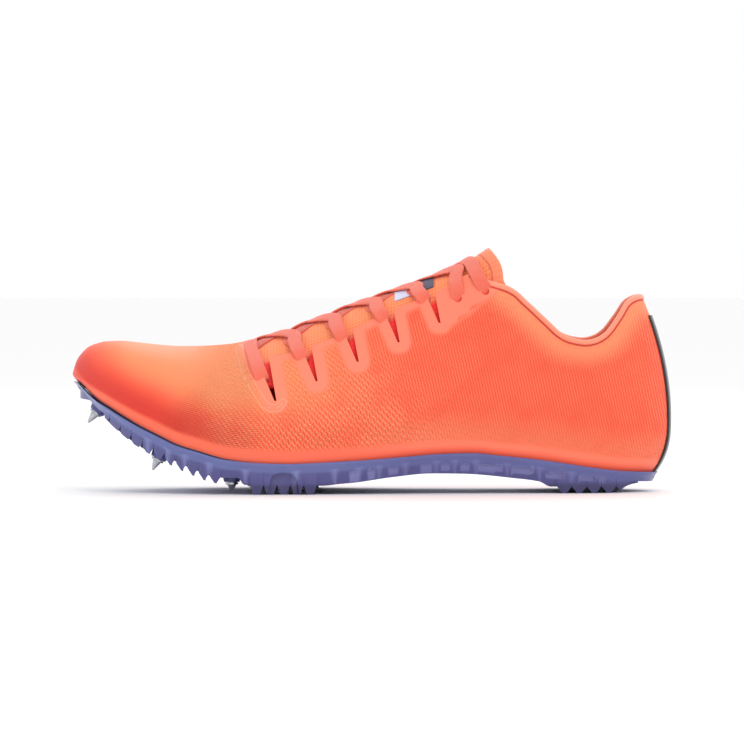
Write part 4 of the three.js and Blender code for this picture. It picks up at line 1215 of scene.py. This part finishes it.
PINS = (
    (0.034, -0.42, 2.0, 6.5), (0.153, -0.7, 3.0, 6.0), (0.273, -0.62, 2.4, 4.4), (0.312, -0.6, 1.0, 3.2),
    (0.034, 0.42, 2.0, 6.5), (0.153, 0.66, 3.0, 6.0), (0.273, 0.62, 2.4, 4.4), (0.312, 0.62, 1.0, 3.2),
)
PIN_RADIUS = 2.1
PIN_FLANGE = 3.1
PIN_FLANGE_THICKNESS = 1.1
PIN_TIP = 0.5
PIN_STEM = 2.6
PIN_STEM_RADIUS = 1.5
BOSS_WALL = 1.2
BOSS_TAPER = 0.6
RIB_WIDTH = 2.6
PIN_SIDES = 24


def pin_frame(at, across):
    """A pin's foot on the plate's underside and the way that it points, square to the underside."""
    step = 0.01
    section = section_at(np.array([at - step, at, at + step]), PLATE_GROW)
    x = section["x"] + lean_at(section, section["base"])
    z = root_at(section)
    half = section["lateral"][1] if across < 0 else section["medial"][1]
    down = np.array([(z[2] - z[0]) / (x[2] - x[0]), 0, -1])
    return np.array([x[1], section["ridge"][1] + across * half, z[1]]), down / np.linalg.norm(down)


def turned(name, profile, pin):
    """A profile of radius and depth turned about a pin's axis."""
    place, down = pin_frame(pin[0], pin[1])
    side = np.array([0.0, 1.0, 0.0])
    front = np.cross(side, down)
    turn = np.linspace(0, 2 * np.pi, PIN_SIDES, endpoint=False)
    ring = np.cos(turn)[:, None] * side + np.sin(turn)[:, None] * front
    profile = np.asarray(profile, float)
    rings = place + profile[:, 1, None, None] * down + profile[:, 0, None, None] * ring
    return ring_skin(name, rings)


for pin in PINS:
    foot = PIN_FLANGE + BOSS_WALL
    boss = [(0, -1), (foot, -1), (foot, 0), (foot - BOSS_TAPER, pin[2]), (0, pin[2])]
    combine(plate, turned("boss", boss, pin), how="UNION")
combine(plate, last_form("seat", stations(160), GAP, GAP, 8, 12))
for window in WINDOWS:
    pane = block("pane", window_outline(*window), -BALL_WIDTH, BALL_WIDTH, "side")
    floor_of_pane = slab("pane_floor", PLATE_GROW - WINDOW_DEPTH, 0.0, under_at, feather_at, 160, 5)
    combine(plate, combine(pane, floor_of_pane))
recess = block("recess", scallop_outline(), -BALL_WIDTH, BALL_WIDTH, "side")
combine(plate, combine(recess, slab("recess_floor", PLATE_GROW - SCALLOP_DEPTH, PLATE_DRAFT, under_at,
                                    feather_at, 160, 5)))
for pin in PINS:
    radius = PIN_STEM_RADIUS + GAP
    deep = pin[2] - PIN_STEM - GAP
    combine(plate, turned("bore", [(0, deep), (radius, deep), (radius, pin[2] + 1), (0, pin[2] + 1)], pin))

points = own_points(plate)
x, y, z = points.T
section = section_at(share_of(x, z, PLATE_GROW), PLATE_GROW)
drop = section["feather"] - z
rib = np.zeros_like(x)
for px in RIBS:
    middle = seen(px, 0)[0]
    wide = np.clip(RIB_WIDTH - np.abs(drop - LIP_BAND) * 0.32, 0.6, RIB_WIDTH)
    rib = np.maximum(rib, np.clip(1 - np.abs(x - middle) / wide, 0, 1))
pane = np.max([
    (np.abs(x - seen(px, py)[0]) < wide * 0.25) & (np.abs(z - seen(px, py)[1]) < high * 0.26)
    for px, py, wide, high in WINDOWS
], axis=0)
set_field(plate, "along", x)
set_field(plate, "drop", drop)
set_field(plate, "height", z)
set_field(plate, "rib", rib * (drop > LIP_BAND * 0.7))
set_field(plate, "pane", pane)

WALL_PURPLE = linear(72, 71, 130)
# painted highlight: the paler blue band that the light picks out along the plate's lip
LIP_HIGHLIGHT = linear(94, 105, 162)
# painted highlight: the lighter purple where the raised ribs catch the light
RIB_HIGHLIGHT = linear(140, 148, 204)
PANE_LIGHT = linear(140, 144, 198)
# painted shade: the plate's side darker under the arch and heel
ARCH_SHADE = linear(56, 54, 118)
# painted shade: the dark navy of the plate's underside and teeth near the floor
TOOTH_SHADE = linear(36, 30, 72)
CLOUD_LIGHT = linear(132, 132, 196)

purple, tree, shader, place = new_material("purple_plastic", 0.34, coat=0.15)
along, drop, height = (field(tree, name) for name in ("along", "drop", "height"))
# painted highlight along the top band of the lip, over the wall's purple
tone = paint(tree, step_up(tree, drop, LIP_BAND + 1.2, LIP_BAND - 0.6), WALL_PURPLE, LIP_HIGHLIGHT)
# painted highlight on the ribs
tone = wash(tree, tone, RIB_HIGHLIGHT, field(tree, "rib"), 0.6)
tone = wash(tree, tone, PANE_LIGHT, field(tree, "pane"), 0.7)
# painted shade over the plate's side from the midfoot back
tone = wash(tree, tone, ARCH_SHADE, step_up(tree, along, -30.0, 20.0), 0.4)
# painted shade on the low part of the plate, near the floor and under the top light
dark = times(tree, step_up(tree, height, 6.0, 3.2), step_up(tree, drop, 4.0, 7.0))
tone = wash(tree, tone, TOOTH_SHADE, dark, 0.85)
tone = wash(tree, tone, CLOUD_LIGHT, speckle(tree, place, 60.0), 0.22)
coloured(tree, shader, tone)
shader.inputs["Subsurface Weight"].default_value = 0.15
shader.inputs["Subsurface Radius"].default_value = (1.0, 1.0, 1.6)
shader.inputs["Subsurface Scale"].default_value = 0.002
grain = calc(tree, "MULTIPLY_ADD", speckle(tree, place, 500.0), 0.15, field(tree, "rib"))
raise_bump(tree, shader, grain, 0.5)
dress(plate, purple, "plate", "spike_plate", sharp=28)

# Spike pins
# Small steel cones with a flange, each screwed into a boss of the plate.
steel, tree, shader, place = new_material("steel", 0.22)
shader.inputs["Metallic"].default_value = 1.0
tone = paint(tree, speckle(tree, place, 400.0), linear(150, 152, 158), linear(214, 216, 222))
coloured(tree, shader, tone)
for i, pin in enumerate(PINS):
    seat = pin[2] + GAP
    neck = seat + PIN_FLANGE_THICKNESS
    profile = [
        (0, pin[2] - PIN_STEM), (PIN_STEM_RADIUS, pin[2] - PIN_STEM), (PIN_STEM_RADIUS, seat),
        (PIN_FLANGE, seat), (PIN_FLANGE, neck - 0.3), (PIN_RADIUS, neck), (PIN_TIP, pin[2] + pin[3]),
        (0, pin[2] + pin[3]),
    ]
    dress(turned("steel_pin_" + str(i + 1), profile, pin), steel, "pins", "spike_pin_" + str(i + 1), sharp=30)

# Insole
# A thin foam sheet with a smooth knit face, lying loose on the floor of the shoe.
INSOLE_THICKNESS = 3.0


def insole_low(section):
    """Height of the insole's underside, just over the foot bed."""
    return section["base"] + GAP


def insole_high(section):
    """Height of the insole's face."""
    return section["base"] + INSOLE_THICKNESS


insole = slab("insole_sheet", -WALL - 2 * GAP, 0.0, insole_low, insole_high, 160, 5)
face, tree, shader, place = new_material("insole_knit", 0.8, sheen=0.3)
threads = speckle(tree, place, 1200.0, 2.0)
tone = paint(tree, threads, linear(228, 84, 58), linear(255, 128, 92))
coloured(tree, shader, tone)
raise_bump(tree, shader, threads, 0.2)
dress(insole, face, "insole", "insole", sharp=40)

# Floor and light
floor_mesh = bpy.data.meshes.new("floor")
floor_mesh.from_pydata([(-6, -6, 0), (6, -6, 0), (6, 6, 0), (-6, 6, 0)], [], [(0, 1, 2, 3)])
floor = bpy.data.objects.new("floor", floor_mesh)
bpy.context.scene.collection.objects.link(floor)
paper, tree, shader, place = new_material("paper", 0.6)
shader.inputs["Base Color"].default_value = (0.96, 0.96, 0.96, 1)
floor.data.materials.append(paper)
world = bpy.data.worlds.new("studio")
bpy.context.scene.world = world
world.use_nodes = True
world.node_tree.nodes["Background"].inputs["Color"].default_value = (1, 1, 1, 1)
world.node_tree.nodes["Background"].inputs["Strength"].default_value = 1.0
bpy.context.scene.view_settings.view_transform = "Standard"


def softbox(name, place, aim, size, power):
    """A square area light that faces a point."""
    light = bpy.data.lights.new(name, "AREA")
    light.size = size
    light.energy = power
    lamp = bpy.data.objects.new(name, light)
    bpy.context.scene.collection.objects.link(lamp)
    way = np.array(aim) - np.array(place)
    flat = math.hypot(way[0], way[1])
    lamp.location = place
    lamp.rotation_euler = (math.atan2(flat, -way[2]), 0, math.atan2(-way[0], way[1]))
    return lamp


softbox("key", (0.35, -0.8, 1.5), (0, 0, 0.05), 0.6, 5)
softbox("back", (0.2, 0.9, 0.9), (0, 0, 0.08), 0.8, 3)
